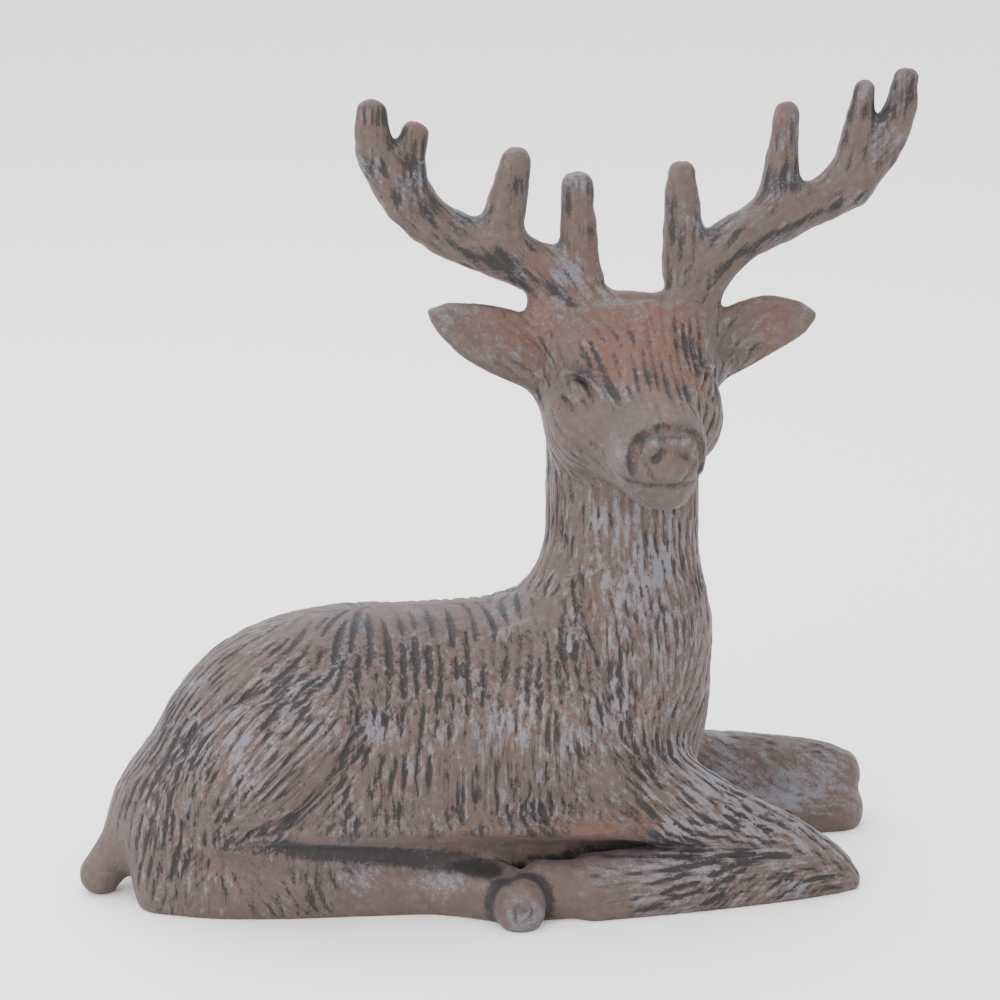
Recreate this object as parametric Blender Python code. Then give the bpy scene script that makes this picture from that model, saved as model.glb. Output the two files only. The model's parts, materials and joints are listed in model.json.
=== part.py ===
"""A lying stag, cast in iron, with its head turned to one side.

The form is described by distance: every mass (trunk, haunch, cannon, ear, tine) is a function
that says how far a point is from its skin, and blend() and carve() join and cut them with
fillets, as a sculptor adds clay and draws a tool through it. The skin is then where the
distance is nought. It is found on a lattice, closed into one body and thinned to facets.

Places and radii are in parts, 248ths of the stag's height, so the whole pose, its proportions
and its carving are shares of that one size. +X is the way the body faces, -Y the side shown.
"""
import math

import bpy
import numpy as np

HEIGHT = 0.248          # floor to the tip of the taller antler
PART = HEIGHT / 248     # one part, in metres
LATTICE = 1.5           # spacing of the points where the form is measured, in parts
FACETS = 9700           # triangles that the thinned skin keeps
LOW, HIGH = (-136, -58, -3), (136, 58, 254)     # the space that holds the stag, in parts


# Ways of describing a rounded mass by its distance

def blend(a, b, fillet):
    """The lower of two distances, eased by a fillet where they are nearly equal:
    min(a, b) less a quarter of h squared over the fillet, with h = fillet - |a - b|."""
    near = np.maximum(fillet - np.abs(a - b), 0)
    return np.minimum(a, b) - near * near / (4 * fillet)


def carve(a, b, fillet):
    """What is left of a when b is cut out of it, with the same fillet on the cut's edge."""
    return -blend(-a, b, fillet)


def turned(yaw=0.0, pitch=0.0, roll=0.0):
    """Three rows: right, forward and up of a thing that faces -Y, then turned towards +X by
    yaw, lifted by pitch and leant by roll, in degrees."""
    a, p, r = (math.radians(v) for v in (yaw, pitch, roll))
    forward = np.array([math.sin(a) * math.cos(p), -math.cos(a) * math.cos(p), math.sin(p)])
    right = np.array([math.cos(a), math.sin(a), 0.0])
    up = np.cross(forward, right)
    up *= np.sign(up[2])
    return np.array([right * math.cos(r) + up * math.sin(r), forward,
                     up * math.cos(r) - right * math.sin(r)])


def out_of_reach(points, low, high, reach=26.0):
    """How far a box lies from a whole block of points, or 0 where that is within reach."""
    gap = np.maximum(np.maximum(low - points.max(0), points.min(0) - high), 0)
    far = float(np.linalg.norm(gap))
    return far if far > reach else 0.0


def egg(points, centre, radii, frame=None):
    """Distance to an ellipsoid: k (k - 1) / g, where k is the distance from its centre in
    radii and g the length of (offset / radius squared)."""
    centre, radii = np.asarray(centre, float), np.asarray(radii, float)
    far = out_of_reach(points, centre - radii.max(), centre + radii.max())
    if far:
        return np.full(len(points), far, np.float32)
    v = points - centre.astype(np.float32)
    if frame is not None:
        v = v @ np.asarray(frame, np.float32).T
    s = v / radii.astype(np.float32)
    k = np.sqrt((s * s).sum(1))
    g = np.sqrt(((s / radii.astype(np.float32)) ** 2).sum(1))
    return k * (k - 1) / np.maximum(g, 1e-6)


def smooth_path(knots, steps):
    """Points of a curve that passes through every knot (Catmull-Rom), steps to a span."""
    k = np.asarray(knots, float)
    k = np.vstack([2 * k[0] - k[1], k, 2 * k[-1] - k[-2]])
    t = np.linspace(0, 1, steps, endpoint=False)[:, None]
    spans = [0.5 * (2 * b + (c - a) * t + (2 * a - 5 * b + 4 * c - d) * t ** 2
                    + (3 * b - a - 3 * c + d) * t ** 3)
             for a, b, c, d in zip(k, k[1:], k[2:], k[3:])]
    return np.vstack(spans + [k[-2][None]])


def limb(points, knots, across=(0, 1, 0), steps=4, square=2.0):
    """Distance to a limb along a path. A knot is x, y, z, its radius towards `across` and its
    radius square to that. A section is |s|^n + |u|^n = 1, with n = square; ends are round."""
    rows = smooth_path(knots, steps)
    size = rows[:, 3:].max(1)[:, None]
    far = out_of_reach(points, (rows[:, :3] - size).min(0), (rows[:, :3] + size).max(0))
    if far:
        return np.full(len(points), far, np.float32)
    nearest = np.full(len(points), 1e3, np.float32)
    for a, b in zip(rows, rows[1:]):
        axis = b[:3] - a[:3]
        length = float(np.linalg.norm(axis))
        along = axis / length
        side = across - along * np.dot(across, along)
        side /= np.linalg.norm(side)
        local = (points - a[:3].astype(np.float32)) @ np.stack(
            [along, side, np.cross(along, side)], 1).astype(np.float32)
        t = np.clip(local[:, 0] / length, 0, 1)
        r_side = a[3] + (b[3] - a[3]) * t
        r_up = a[4] + (b[4] - a[4]) * t
        r = np.minimum(r_side, r_up)
        s, u = np.abs(local[:, 1]) / r_side, np.abs(local[:, 2]) / r_up
        ring = s * s + u * u if square == 2 else (s ** square + u ** square) ** (2 / square)
        w = (local[:, 0] - t * length) / r
        nearest = np.minimum(nearest, (np.sqrt(ring + w * w) - 1) * r)
    return nearest


# The masses of the body. Near is the side of -Y; a far one is measured on mirrored points

def mirrored(points):
    return points * np.array([1, -1, 1], np.float32)


def torso(p):
    return limb(p, [(-101, 0, 19, 19, 23), (-92, 0, 23, 26, 28), (-78, 0, 29, 32, 36),
                    (-64, 0, 36, 36, 45.5), (-48, 0, 41, 37, 46), (-28, 0, 42.5, 36.5, 44.5),
                    (0, 0, 43.7, 35.5, 44), (20, 0, 44, 33, 44), (33, 0, 44, 26, 34)],
                square=2.2)


def brisket(p):
    """Closes the body between the elbows, down to the floor."""
    return limb(p, [(-20, 0, 18, 31, 24), (12, 0, 20, 30, 25), (36, 0, 22, 22, 23)], square=2.3)


def neck(p):
    chest = egg(p, (34.7, -3, 66), (29.8, 27, 44))
    throat = limb(p, [(37.4, -1, 84, 23, 24.8), (37.4, 0, 100, 21.5, 23.6), (37.6, 1, 116, 20.5, 23.4),
                      (37.7, 2, 132, 20, 23.4), (38.5, 2, 146, 20, 23)], steps=3)
    return blend(chest, throat, 10)


def haunch(p):
    """A hind quarter: a raised plate that leans forward, its knee, and the rump behind it."""
    thigh = egg(p, (-71, -24, 48), (30, 16.5, 20), turned(90, 38)[[1, 0, 2]])
    knee = egg(p, (-54, -27, 60), (13, 11.5, 13))
    rear = limb(p, [(-70, -20, 44, 16, 20), (-88, -17, 28, 13, 20), (-99, -14, 9, 12.5, 16)],
                steps=3)
    return blend(blend(thigh, knee, 8), rear, 8)


def hind_foot(p):
    cannon = limb(p, [(-103, -14.5, 7, 11, 14), (-88, -21, 8, 10, 14.5), (-66, -24.5, 6, 9, 11.5),
                      (-36, -25.5, 5, 8.5, 11), (-8, -27.5, 5, 8.5, 11)], steps=3, square=2.4)
    fetlock = limb(p, [(-18, -29, 6, 8, 11), (-7, -35, 7, 8.5, 10), (0, -42, 7, 7.5, 8.5)],
                   steps=2)
    hoof = carve(egg(p, (0.5, -46, 6.2), (7.6, 7.5, 9)), egg(p, (0, -53.6, 7), (3.2, 1.6, 3.6)), 1.4)
    return blend(blend(cannon, fetlock, 3), hoof, 2)


def shoulder(p):
    return egg(p, (14, -21, 52), (27, 17.5, 26), turned(90, -25)[[1, 0, 2]])


def near_foreleg(p):
    """Forearm down to a pointed knee, and the cannon folded back under it to its hoof."""
    forearm = limb(p, [(30, -23, 40, 13, 17), (50, -25, 30, 12, 14), (66, -27, 22, 10, 12),
                       (82, -28, 14.5, 9, 11), (96, -27, 6.5, 8, 9), (103.5, -26, 2, 5, 5.5)],
                   steps=3, square=2.2)
    cannon = limb(p, [(102, -25, 1, 5, 6), (92, -27, 3, 8, 10), (74, -30, 6, 9.5, 12),
                      (50, -34, 6.5, 9.5, 12), (24, -37, 6.5, 9.5, 11.5)], steps=3, square=2.4)
    hoof = limb(p, [(16, -37, 7, 8, 9.5), (8, -37, 7, 8, 10)], steps=2)
    return blend(shoulder(p), forearm, 12), cannon, hoof


def far_foreleg(p):
    """The other foreleg lies straighter and ends in a blunt, rounded knee."""
    forearm = limb(p, [(30, -23, 40, 13, 17), (58, -27, 23, 10, 13.5), (84, -31, 18.5, 8.5, 12.5),
                       (104, -32, 14.5, 8.5, 13), (111.5, -32, 11, 8.5, 13.5)],
                   steps=3, square=2.4)
    cannon = limb(p, [(112, -29, 5, 10, 10), (88, -28, 5, 9.5, 10.5), (58, -29, 5, 9.5, 11),
                      (28, -32, 5, 9.5, 11), (14, -32, 5, 9.5, 11)], steps=3, square=2.4)
    return blend(shoulder(p), forearm, 12), cannon


def belly_edge(p):
    return limb(p, [(-86, -25, 25, 8, 4), (-60, -29, 28, 9, 4), (-26, -30.5, 28, 9, 4),
                    (7, -31, 27, 9, 4), (37, -31, 25, 8, 4), (76, -28, 19, 7, 4)], steps=3)


def tail(p):
    return limb(p, [(-112, 0, 22, 8, 8), (-118.5, -1, 12.5, 7, 7), (-123.8, -2, 5.6, 6.5, 6.5)],
                steps=3)


# The head, in its own directions: right, forward along the muzzle, up

HEAD_AT = np.array([39.0, -4.0, 158.0])
HEAD = turned(5, -6)


def in_head(p):
    q = (p - HEAD_AT.astype(np.float32)) @ HEAD.T.astype(np.float32)
    s = q.copy()
    s[:, 0] = np.abs(s[:, 0])
    return q, s


def head(p):
    if out_of_reach(p, HEAD_AT - 56, HEAD_AT + 56):
        return np.full(len(p), 56, np.float32)
    q, s = in_head(p)
    skull = egg(q, (0, -2, 1), (23, 23, 23))
    poll = limb(q, [(-15, -3, 12.5, 9, 9), (0, -3, 15, 9, 9), (15, -3, 12.5, 9, 9)], steps=2)
    skull = blend(skull, poll, 8)
    forehead = q @ np.array([0, 0.56, 0.83], np.float32) - 17.0
    skull = carve(skull, -forehead, 5)
    cheek = egg(s, (14.4, 5, -11), (12.6, 18, 15))
    muzzle = limb(q, [(0, 6, -4, 17, 15.4), (0, 24, -8.4, 15, 13.6), (0, 37, -10.5, 13.5, 13.2)],
                  across=(1, 0, 0), steps=3, square=2.5)
    chin = egg(q, (1.5, 35, -22.5), (7.5, 12, 6))
    jaw = limb(s, [(13, 2, -16, 9, 8.5), (8.5, 22, -18.5, 7.5, 6.5), (4, 34, -21, 5.5, 5)],
               across=(1, 0, 0), steps=3)
    d = blend(blend(skull, cheek, 8), muzzle, 7)
    d = blend(d, blend(chin, jaw, 6), 4)
    brow = limb(s, [(23.0, 8.5, 5.0, 0.8, 0.8), (20.8, 13, 6.1, 1.1, 1.1), (17.6, 17.4, 5.4, 1.2, 1.1),
                    (14.2, 22.5, 3.4, 1.1, 1.0), (12.0, 27, 1.4, 0.7, 0.7)])
    hairline = limb(q, [(-24, -3.4, 14.6, 0.6, 0.6), (-17.5, -4.4, 20.5, 0.8, 0.8),
                        (-9.5, -5.2, 22.6, 0.8, 0.8), (2.8, -5.2, 23.2, 0.8, 0.8),
                        (11.6, -4.6, 22.2, 0.8, 0.8), (20, -3.6, 19.9, 0.6, 0.6)])
    return eyes(carve(blend(d, brow, 2.5), hairline, 1), s)


EYE_AT = np.array([20.3, 14.7, 0.8])
EYE = np.array([(-0.51, 0.84, -0.19), (-0.37, -0.02, 0.93), (0.80, 0.50, 0.33)])


def eyes(d, s):
    """A hollow, the ball in it and two lids, set along EYE: forward, up and out of the face."""
    frame = EYE / np.linalg.norm(EYE, axis=1)[:, None]
    at = EYE_AT @ frame.T
    e = s @ frame.T.astype(np.float32) - at.astype(np.float32)
    d = carve(d, egg(e, (0.3, 0.2, 1.2), (5.6, 4.2, 2.4)), 3)
    d = blend(d, egg(e, (0, 0, -1.2), (3.3, 2.5, 2.3)), 0.5)
    for height in (2.6, -2.3):
        lid = [(-4.6 * math.cos(t), height * math.sin(t), 0.1 - 0.9 * abs(math.cos(t)), r, r)
               for t, r in ((0.1, 0.6), (0.8, 0.8), (1.6, 0.9), (2.3, 0.8), (3.04, 0.6))]
        d = blend(d, limb(e, lid, (0, 0, 1), 3), 0.8)
    return d


def nose_and_mouth(d, p):
    """The pad stands inside a cut ring; nostrils, the lip under them and the mouth are cut."""
    if out_of_reach(p, HEAD_AT - 56, HEAD_AT + 56):
        return d
    q, s = in_head(p)
    ring = limb(s, [(0, 46.3, -0.4, 1.6, 2.0), (5.6, 46.1, -1.4, 1.6, 2.1), (9.9, 45.3, -6.0, 1.6, 2.2),
                    (10.9, 45.0, -11.0, 1.5, 2.1), (10.2, 45.2, -15.2, 1.2, 1.3)], steps=3)
    d = carve(d, ring, 0.9)
    d = blend(d, egg(s, (4.8, 46.5, -4.9), (3.1, 3.1, 2.5)), 1.0)
    d = blend(d, egg(q, (0, 44.0, -12.4), (8.2, 6.3, 5.6)), 1.2)
    nostril = limb(s, [(1.2, 49.6, -5.4, 0.8, 0.8), (3.2, 50.0, -7.5, 1.3, 1.2), (6.0, 48.9, -8.9, 0.9, 0.9)])
    lip = limb(s, [(7.8, 47.6, -9.8, 0.6, 0.6), (5.9, 48.9, -13.2, 0.8, 0.8), (3.8, 48.7, -16.2, 0.6, 0.6)])
    d = carve(carve(d, nostril, 0.8), lip, 0.8)
    mouth = limb(s, [(0, 48.5, -17.6, 1.2, 1.2), (5, 47.6, -17.6, 1.2, 1.2), (9, 45.0, -17.7, 1.1, 1.1),
                     (11.8, 40.8, -17.5, 1.0, 1.0), (13.4, 35, -16.5, 0.6, 0.6)])
    return carve(d, mouth, 0.8)


def ear(p, root, middle, tip, widths):
    """A leaf from root to tip, hollowed on its front by a slimmer leaf."""
    root, middle, tip = (np.asarray(v, float) for v in (root, middle, tip))
    across = np.cross(tip - root, (0, -1, 0))
    late = middle * 0.35 + tip * 0.65
    front = np.array([0, -5.2, 0])
    leaf = limb(p, [(*root, widths[0], 5), (*middle, widths[1], 4.4), (*late, widths[2], 3.4),
                    (*tip, 1.2, 2)], across, 5)
    hollow = limb(p, [(*(root * 0.72 + middle * 0.28 + front), widths[0] * 0.42, 3.6),
                      (*(middle + front), widths[1] * 0.70, 4.0),
                      (*(late + front * 0.9), widths[2] * 0.62, 3.0),
                      (*(middle * 0.12 + tip * 0.88 + front * 0.75), 0.8, 1.6)], across, 5)
    return carve(leaf, hollow, 2.4)


def antler(p, beam, tines, depth=0.82):
    """A curved beam with tines, nearly square in section and `depth` as deep as wide."""
    def stem(knots, steps):
        return limb(p, [(x, y, z, r * depth, r) for x, y, z, r in knots], steps=steps, square=2.6)
    d = stem(beam, 4)
    for tine in tines:
        d = blend(d, stem(tine, 3), 4)
    return d


LEFT_BEAM = [(33, 2, 168, 8), (23.5, 3, 182, 7.8), (11, 4, 190.5, 7.7), (-6, 4, 197.2, 7.5),
             (-20, 4, 204.4, 7.1), (-30.5, 2, 215, 6.5), (-37.3, 0, 228, 5.7), (-38, -1, 238.8, 4.3)]
LEFT_TINES = [[(24.6, 4, 188, 6.4), (24, 4, 202, 5.5), (23.4, 3, 215.8, 4.5)],
              [(0, 4, 199, 6.6), (2.8, 4, 211, 5.7), (5, 3, 223.2, 4.5)],
              [(-26, 3, 211, 6), (-27, 2, 220, 5.1), (-24.9, 1, 232, 4.1)]]
RIGHT_BEAM = [(53, 3, 168, 8), (60, 5, 182, 7.6), (70, 7, 194.8, 7.7), (87, 9, 203.6, 7.2),
              (103, 10, 209.8, 6.5), (114.8, 11, 219.5, 5.9), (122, 11, 232, 5.1),
              (124.3, 10, 244.6, 3.9)]
RIGHT_TINES = [[(57, 6, 188, 7), (55.8, 6, 204, 5.7), (55.2, 5, 218, 4.1)],
               [(86, 9, 203, 7.2), (86.6, 9, 218, 5.3), (87.6, 8, 235.5, 3.7)],
               [(106.5, 10, 211, 6.4), (109.4, 10, 225, 4.9), (111.4, 10, 241.5, 3.4)]]


def ridges(d, p):
    """The raised fold of skin over one shoulder blade."""
    blade = [(-3, -19.4, 82.6, 0.8, 0.8), (4, -18.4, 84.4, 1.5, 1.4), (11, -20.6, 85.2, 1.9, 1.7),
             (18, -25.2, 83.6, 1.7, 1.6), (23.5, -29.2, 78.6, 1.0, 1.0)]
    return blend(d, limb(p, blade), 3.5)


def creases(d, p):
    """The long folds between the masses of one side."""
    under_belly = [(-80, -36, 23.5, 3, 1.5), (-66, -38, 22.5, 5, 2.6), (-30, -39, 19, 6, 3.2),
                   (-14, -40, 18.5, 6, 3.6), (-3, -43, 17, 6, 3.2)]
    behind_shoulder = [(-3, -26, 78, 0.9, 1), (-4.6, -33, 70, 1.7, 2.2), (-5, -36.4, 62, 1.8, 2.4),
                       (-4.8, -37.6, 49, 1.4, 1.8), (-4, -37, 37, 0.9, 1)]
    before_haunch = [(-48, -32.8, 70.5, 0.7, 0.8), (-45.9, -35.4, 65.5, 1.0, 1.2),
                     (-47.6, -37.2, 59.3, 1.1, 1.4), (-50.6, -37.5, 53, 1.1, 1.4),
                     (-54.5, -37.2, 44.8, 1.1, 1.3), (-61.6, -37, 37, 1.0, 1.2),
                     (-70.1, -36.4, 32, 0.9, 1.0), (-79, -35.2, 29, 0.7, 0.7)]
    above_haunch = [(-99, -23.3, 49, 0.8, 0.9), (-94.2, -20.8, 58.7, 1.2, 1.3),
                    (-86.1, -22.6, 65.6, 1.3, 1.4), (-74.4, -28.2, 69.4, 1.2, 1.3),
                    (-63.6, -33.6, 70.6, 0.9, 1)]
    mane_edge = [(18, -11.8, 109.6, 0.9, 0.9), (21.1, -20.8, 96.7, 1.4, 1.4),
                 (24.8, -27.3, 85.4, 1.7, 1.7), (28, -31.2, 74, 1.7, 1.7), (29.7, -34.3, 64.7, 1.7, 1.7),
                 (30.6, -37, 54.2, 1.5, 1.5), (36, -36.8, 46.4, 1.6, 1.8), (44.6, -35.6, 41, 1.0, 1.2)]
    for fold in (under_belly, behind_shoulder, before_haunch, above_haunch, mane_edge):
        d = carve(d, limb(p, fold), 2)
    return d


def bare_stag(p):
    """The whole animal without its fur, and without the floor's cut."""
    sides = (p, mirrored(p))
    body = blend(torso(p), brisket(p), 6)
    for side in sides:
        body = blend(body, haunch(side), 4)
    body = blend(body, neck(p), 12)
    near_arm, near_cannon, near_hoof = near_foreleg(p)
    far_arm, far_cannon = far_foreleg(sides[1])
    body = blend(blend(body, near_arm, 6), far_arm, 6)
    for side in sides:
        body = blend(body, belly_edge(side), 4)
    for foot in (hind_foot(p), hind_foot(sides[1]), near_cannon, far_cannon, near_hoof):
        body = blend(body, foot, 1.4)
    for side in sides:
        body = creases(ridges(body, side), side)
    body = blend(body, tail(p), 3)
    top = blend(head(p), ear(p, (15, 0, 163), (-3, -1, 170.4), (-21, -2, 178.8), (11, 9.8, 6)), 7)
    top = blend(top, ear(p, (64, 4, 163), (80, 6, 170), (97, 8, 173), (10, 9.6, 6.2)), 7)
    top = blend(top, egg(p, (15.5, 2, 179), (6, 5, 5)), 5)
    body = nose_and_mouth(blend(body, top, 5), p)
    body = blend(body, antler(p, LEFT_BEAM, LEFT_TINES), 4)
    return blend(body, antler(p, RIGHT_BEAM, RIGHT_TINES), 4)


# The larger locks of the coat, cut as tapered grooves that follow the skin

def stroke_lines():
    """Start, middle and end of each lock in the side view, as x and z, by families."""
    lines = []
    for i in range(6):
        x = -40 + 7 * i
        lines.append([(x + 4, 82), (x + 2, 73), (x - 1, 63)])
        if i < 5:
            lines.append([(x + 3, 59), (x + 1, 48), (x - 3, 35)])
    for i in range(5):
        a = math.radians(20 + 13 * i)
        lines.append([(-93 + r * math.cos(a), 27 + r * math.sin(a) + bow) for r, bow in
                      ((23 + 2 * (i % 2), 0), (33, -1), (44 - 3 * (i % 2), 0))])
    for i in range(2):
        r = 60 - 7 * i
        lines.append([(-48 - r * math.cos(a), 26 + r * math.sin(a)) for a in (0.15, 0.5, 0.85)])
    for i in range(6):
        x = 4 + 6 * i
        lines.append([(x, 70 - i), (x + 1.5 * i, 55 - i), (x + 3.6 * i, 38 - 1.5 * i)])
    for i in range(4):
        lines.append([(52 + 2 * i, 94 - 12 * i), (46 + 2 * i, 82 - 12 * i), (36 + 3 * i, 70 - 10 * i)])
    return lines


def follow_skin(starts, ways):
    """Moves each start along its way by the distance that is left, until it meets the skin."""
    p = starts.astype(np.float32)
    for _ in range(30):
        p = p + ways * np.clip(bare_stag(p), -4, 4)[:, None] * np.float32(0.85)
    return p


def coat_strokes():
    """Paths of all locks on the skin: those of the side view on both sides, and the neck's,
    which run down at even angles round its axis in two staggered rows."""
    starts, ways = [], []
    for line in stroke_lines():
        for way in (1.0, -1.0):
            starts += [(x, -62 * way, z) for x, z in line]
            ways += [(0, way, 0)] * 3
    for row, (top, middle, low) in enumerate(((122, 110, 97), (105, 92, 78))):
        for i in range(13):
            a = math.radians(-156 + 24 * i + 12 * row)
            way = np.array([math.cos(a), math.sin(a), 0])
            starts += [(37.5 + 45 * way[0], 45 * way[1], z) for z in (top, middle, low)]
            ways += [-way] * 3
    skin = follow_skin(np.array(starts), np.array(ways, np.float32))
    taper = np.array([[0.8, 0.6], [1.9, 1.8], [0.8, 0.6]])
    return [np.hstack([path, taper]) for path in skin.reshape(-1, 3, 3)]


# From distances to one closed skin

def stag(p, strokes):
    """Distance to the finished stag: its bare form, its locks, and the flat foot it stands on."""
    body = bare_stag(p)
    low, high = p.min(0) - 3, p.max(0) + 3
    for stroke in strokes:
        if (stroke[:, :3].max(0) > low).all() and (stroke[:, :3].min(0) < high).all():
            body = carve(body, limb(p, stroke, steps=2), 0.8)
    return np.maximum(body, -p[:, 2])


def measured(distance, low, high, step, coarse=4, margin=2.0):
    """Distances on a lattice. A coarse one is measured first, and the fine one only near the
    skin; elsewhere it holds the margin with the coarse sign."""
    low = np.asarray(low, float)
    count = (np.ceil((np.asarray(high) - low) / step / coarse).astype(int) + 1)
    big = step * coarse
    axes = [low[i] + (np.arange(count[i]) + 0.5) * big - 0.5 * step for i in range(3)]
    middles = np.stack(np.meshgrid(*axes, indexing="ij"), -1).reshape(-1, 3).astype(np.float32)
    rough = np.concatenate([distance(block) for block in np.array_split(middles, 40)])
    rough = rough.reshape(count)
    spread = np.ones((coarse, coarse, coarse), bool)
    near = np.kron(np.abs(rough) < 0.9 * big + margin, spread)
    fine = np.kron(np.where(rough < 0, -margin, margin).astype(np.float32), spread)
    points = (low + np.argwhere(near) * step).astype(np.float32)
    blocks = np.array_split(points, max(1, len(points) // 30000))
    fine[near] = np.concatenate([distance(block) for block in blocks])
    return settled(eased(fine))


def eased(d):
    """Half of each distance and half of the mean of its six neighbours', which rounds off
    whatever is thinner than the lattice can show."""
    ends = np.pad(d, 1, mode="edge")
    around = sum(np.roll(ends, shift, axis) for axis in range(3) for shift in (-1, 1))
    return 0.5 * d + around[1:-1, 1:-1, 1:-1] / 12


def settled(d, slight=0.02):
    """Takes in the nearer outer corner of each lattice square whose corners are in and out
    by turns, because the skin would meet itself there in one edge."""
    while True:
        clashes = 0
        for u, v in ((0, 1), (0, 2), (1, 2)):
            a, b = [slice(None)] * 3, [slice(None)] * 3
            a[u], b[u] = slice(0, -1), slice(1, None)
            inside = d < 0
            square = []
            for first in (a, b):
                for cut in (slice(0, -1), slice(1, None)):
                    first[v] = cut
                    square.append(inside[tuple(first)])
            aa, ab, ba, bb = square
            for corner in np.argwhere((aa == bb) & (ab == ba) & (aa != ab)):
                ring = np.repeat(corner[None], 4, 0)
                ring[2:, u] += 1
                ring[1::2, v] += 1
                values = d[tuple(ring.T)]
                nearest = ring[np.argmin(np.where(values < 0, 1e3, values))]
                d[tuple(nearest)] = -slight
                clashes += 1
        if not clashes:
            return d


def skin(d, low, step):
    """Closed quads round the inside of a lattice of distances: one vertex in each cell that
    the skin crosses, at the mean of the crossings on its edges, and one quad for each lattice
    edge that crosses it, between the four cells round that edge."""
    inside = d < 0
    cells = np.array(d.shape) - 1
    corners = [(i, j, k) for i in (0, 1) for j in (0, 1) for k in (0, 1)]
    count = sum(inside[tuple(slice(o, o + n) for o, n in zip(c, cells))].astype(np.int8)
                for c in corners)
    crossed = (count > 0) & (count < 8)
    where = np.argwhere(crossed)
    number = np.full(crossed.shape, -1)
    number[crossed] = np.arange(len(where))
    total, hits = np.zeros((len(where), 3)), np.zeros(len(where))
    for c in corners:
        for axis in (i for i in range(3) if not c[i]):
            step_to = np.eye(3, dtype=int)[axis]
            a = d[tuple((where + c).T)].astype(float)
            b = d[tuple((where + c + step_to).T)].astype(float)
            cross = (a < 0) != (b < 0)
            share = np.where(cross, a / np.where(cross, a - b, 1), 0)
            total += (np.array(c) + step_to * share[:, None]) * cross[:, None]
            hits += cross
    vertices = np.asarray(low) + (where + total / hits[:, None]) * step
    quads = []
    for axis in range(3):
        u, v = (axis + 1) % 3, (axis + 2) % 3
        first, second = [slice(1, -1)] * 3, [slice(1, -1)] * 3
        first[axis], second[axis] = slice(0, -1), slice(1, None)
        a, b = inside[tuple(first)], inside[tuple(second)]
        for leaving, order in ((a & ~b, 1), (b & ~a, -1)):
            edge = np.argwhere(leaving)
            edge[:, u] += 1
            edge[:, v] += 1
            ring = []
            for du, dv in ((-1, -1), (0, -1), (0, 0), (-1, 0)):
                cell = edge.copy()
                cell[:, u] += du
                cell[:, v] += dv
                ring.append(number[tuple(cell.T)])
            quads.append(np.stack(ring, 1)[:, ::order])
    return vertices, np.vstack(quads)


# The object

def iron():
    """Iron with a thin rust-brown paint, rubbed paler on what stands out."""
    material = bpy.data.materials.new("rust_brown_iron")
    material.use_nodes = True
    surface = material.node_tree.nodes["Principled BSDF"]
    surface.inputs["Base Color"].default_value = (0.175, 0.105, 0.075, 1)
    surface.inputs["Roughness"].default_value = 0.55
    surface.inputs["Metallic"].default_value = 0.35
    return material


def main():
    for item in list(bpy.data.objects):
        bpy.data.objects.remove(item, do_unlink=True)
    strokes = coat_strokes()
    lattice = measured(lambda p: stag(p, strokes), LOW, HIGH, LATTICE)
    vertices, quads = skin(lattice, LOW, LATTICE)
    middle = (vertices.min(0) + vertices.max(0)) / 2
    vertices -= (middle[0], middle[1], 0)
    mesh = bpy.data.meshes.new("stag")
    mesh.from_pydata((vertices * PART).tolist(), [], quads.tolist())
    mesh.materials.append(iron())
    mesh.shade_smooth()
    body = bpy.data.objects.new("stag", mesh)
    bpy.context.scene.collection.objects.link(body)
    thin = body.modifiers.new("thin", "DECIMATE")
    thin.ratio = FACETS / (2 * len(quads))


main()
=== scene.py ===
# %% [markdown]
# # A resting stag, cast in iron
#
# The real statue is one iron casting, about 25 cm high: a lying stag with its head turned to
# the viewer. Its coat is carved in short strokes, and it is painted rust brown. It looks nearly
# black in the cuts and blue-grey on whatever stands out; here that black is dark paint with
# painted shade, and that blue-grey is wear with a painted highlight.
#
# This lesson sculpts it in four steps. The masses are described as distances and meshed. The
# coat is cut along a field of hair directions. The paint, with its painted shade and painted
# highlight, is worked out from the shape itself. Then come the floor, the lights and a camera
# at the photograph's angle.

# %% The imported frame
import json
import math

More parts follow.
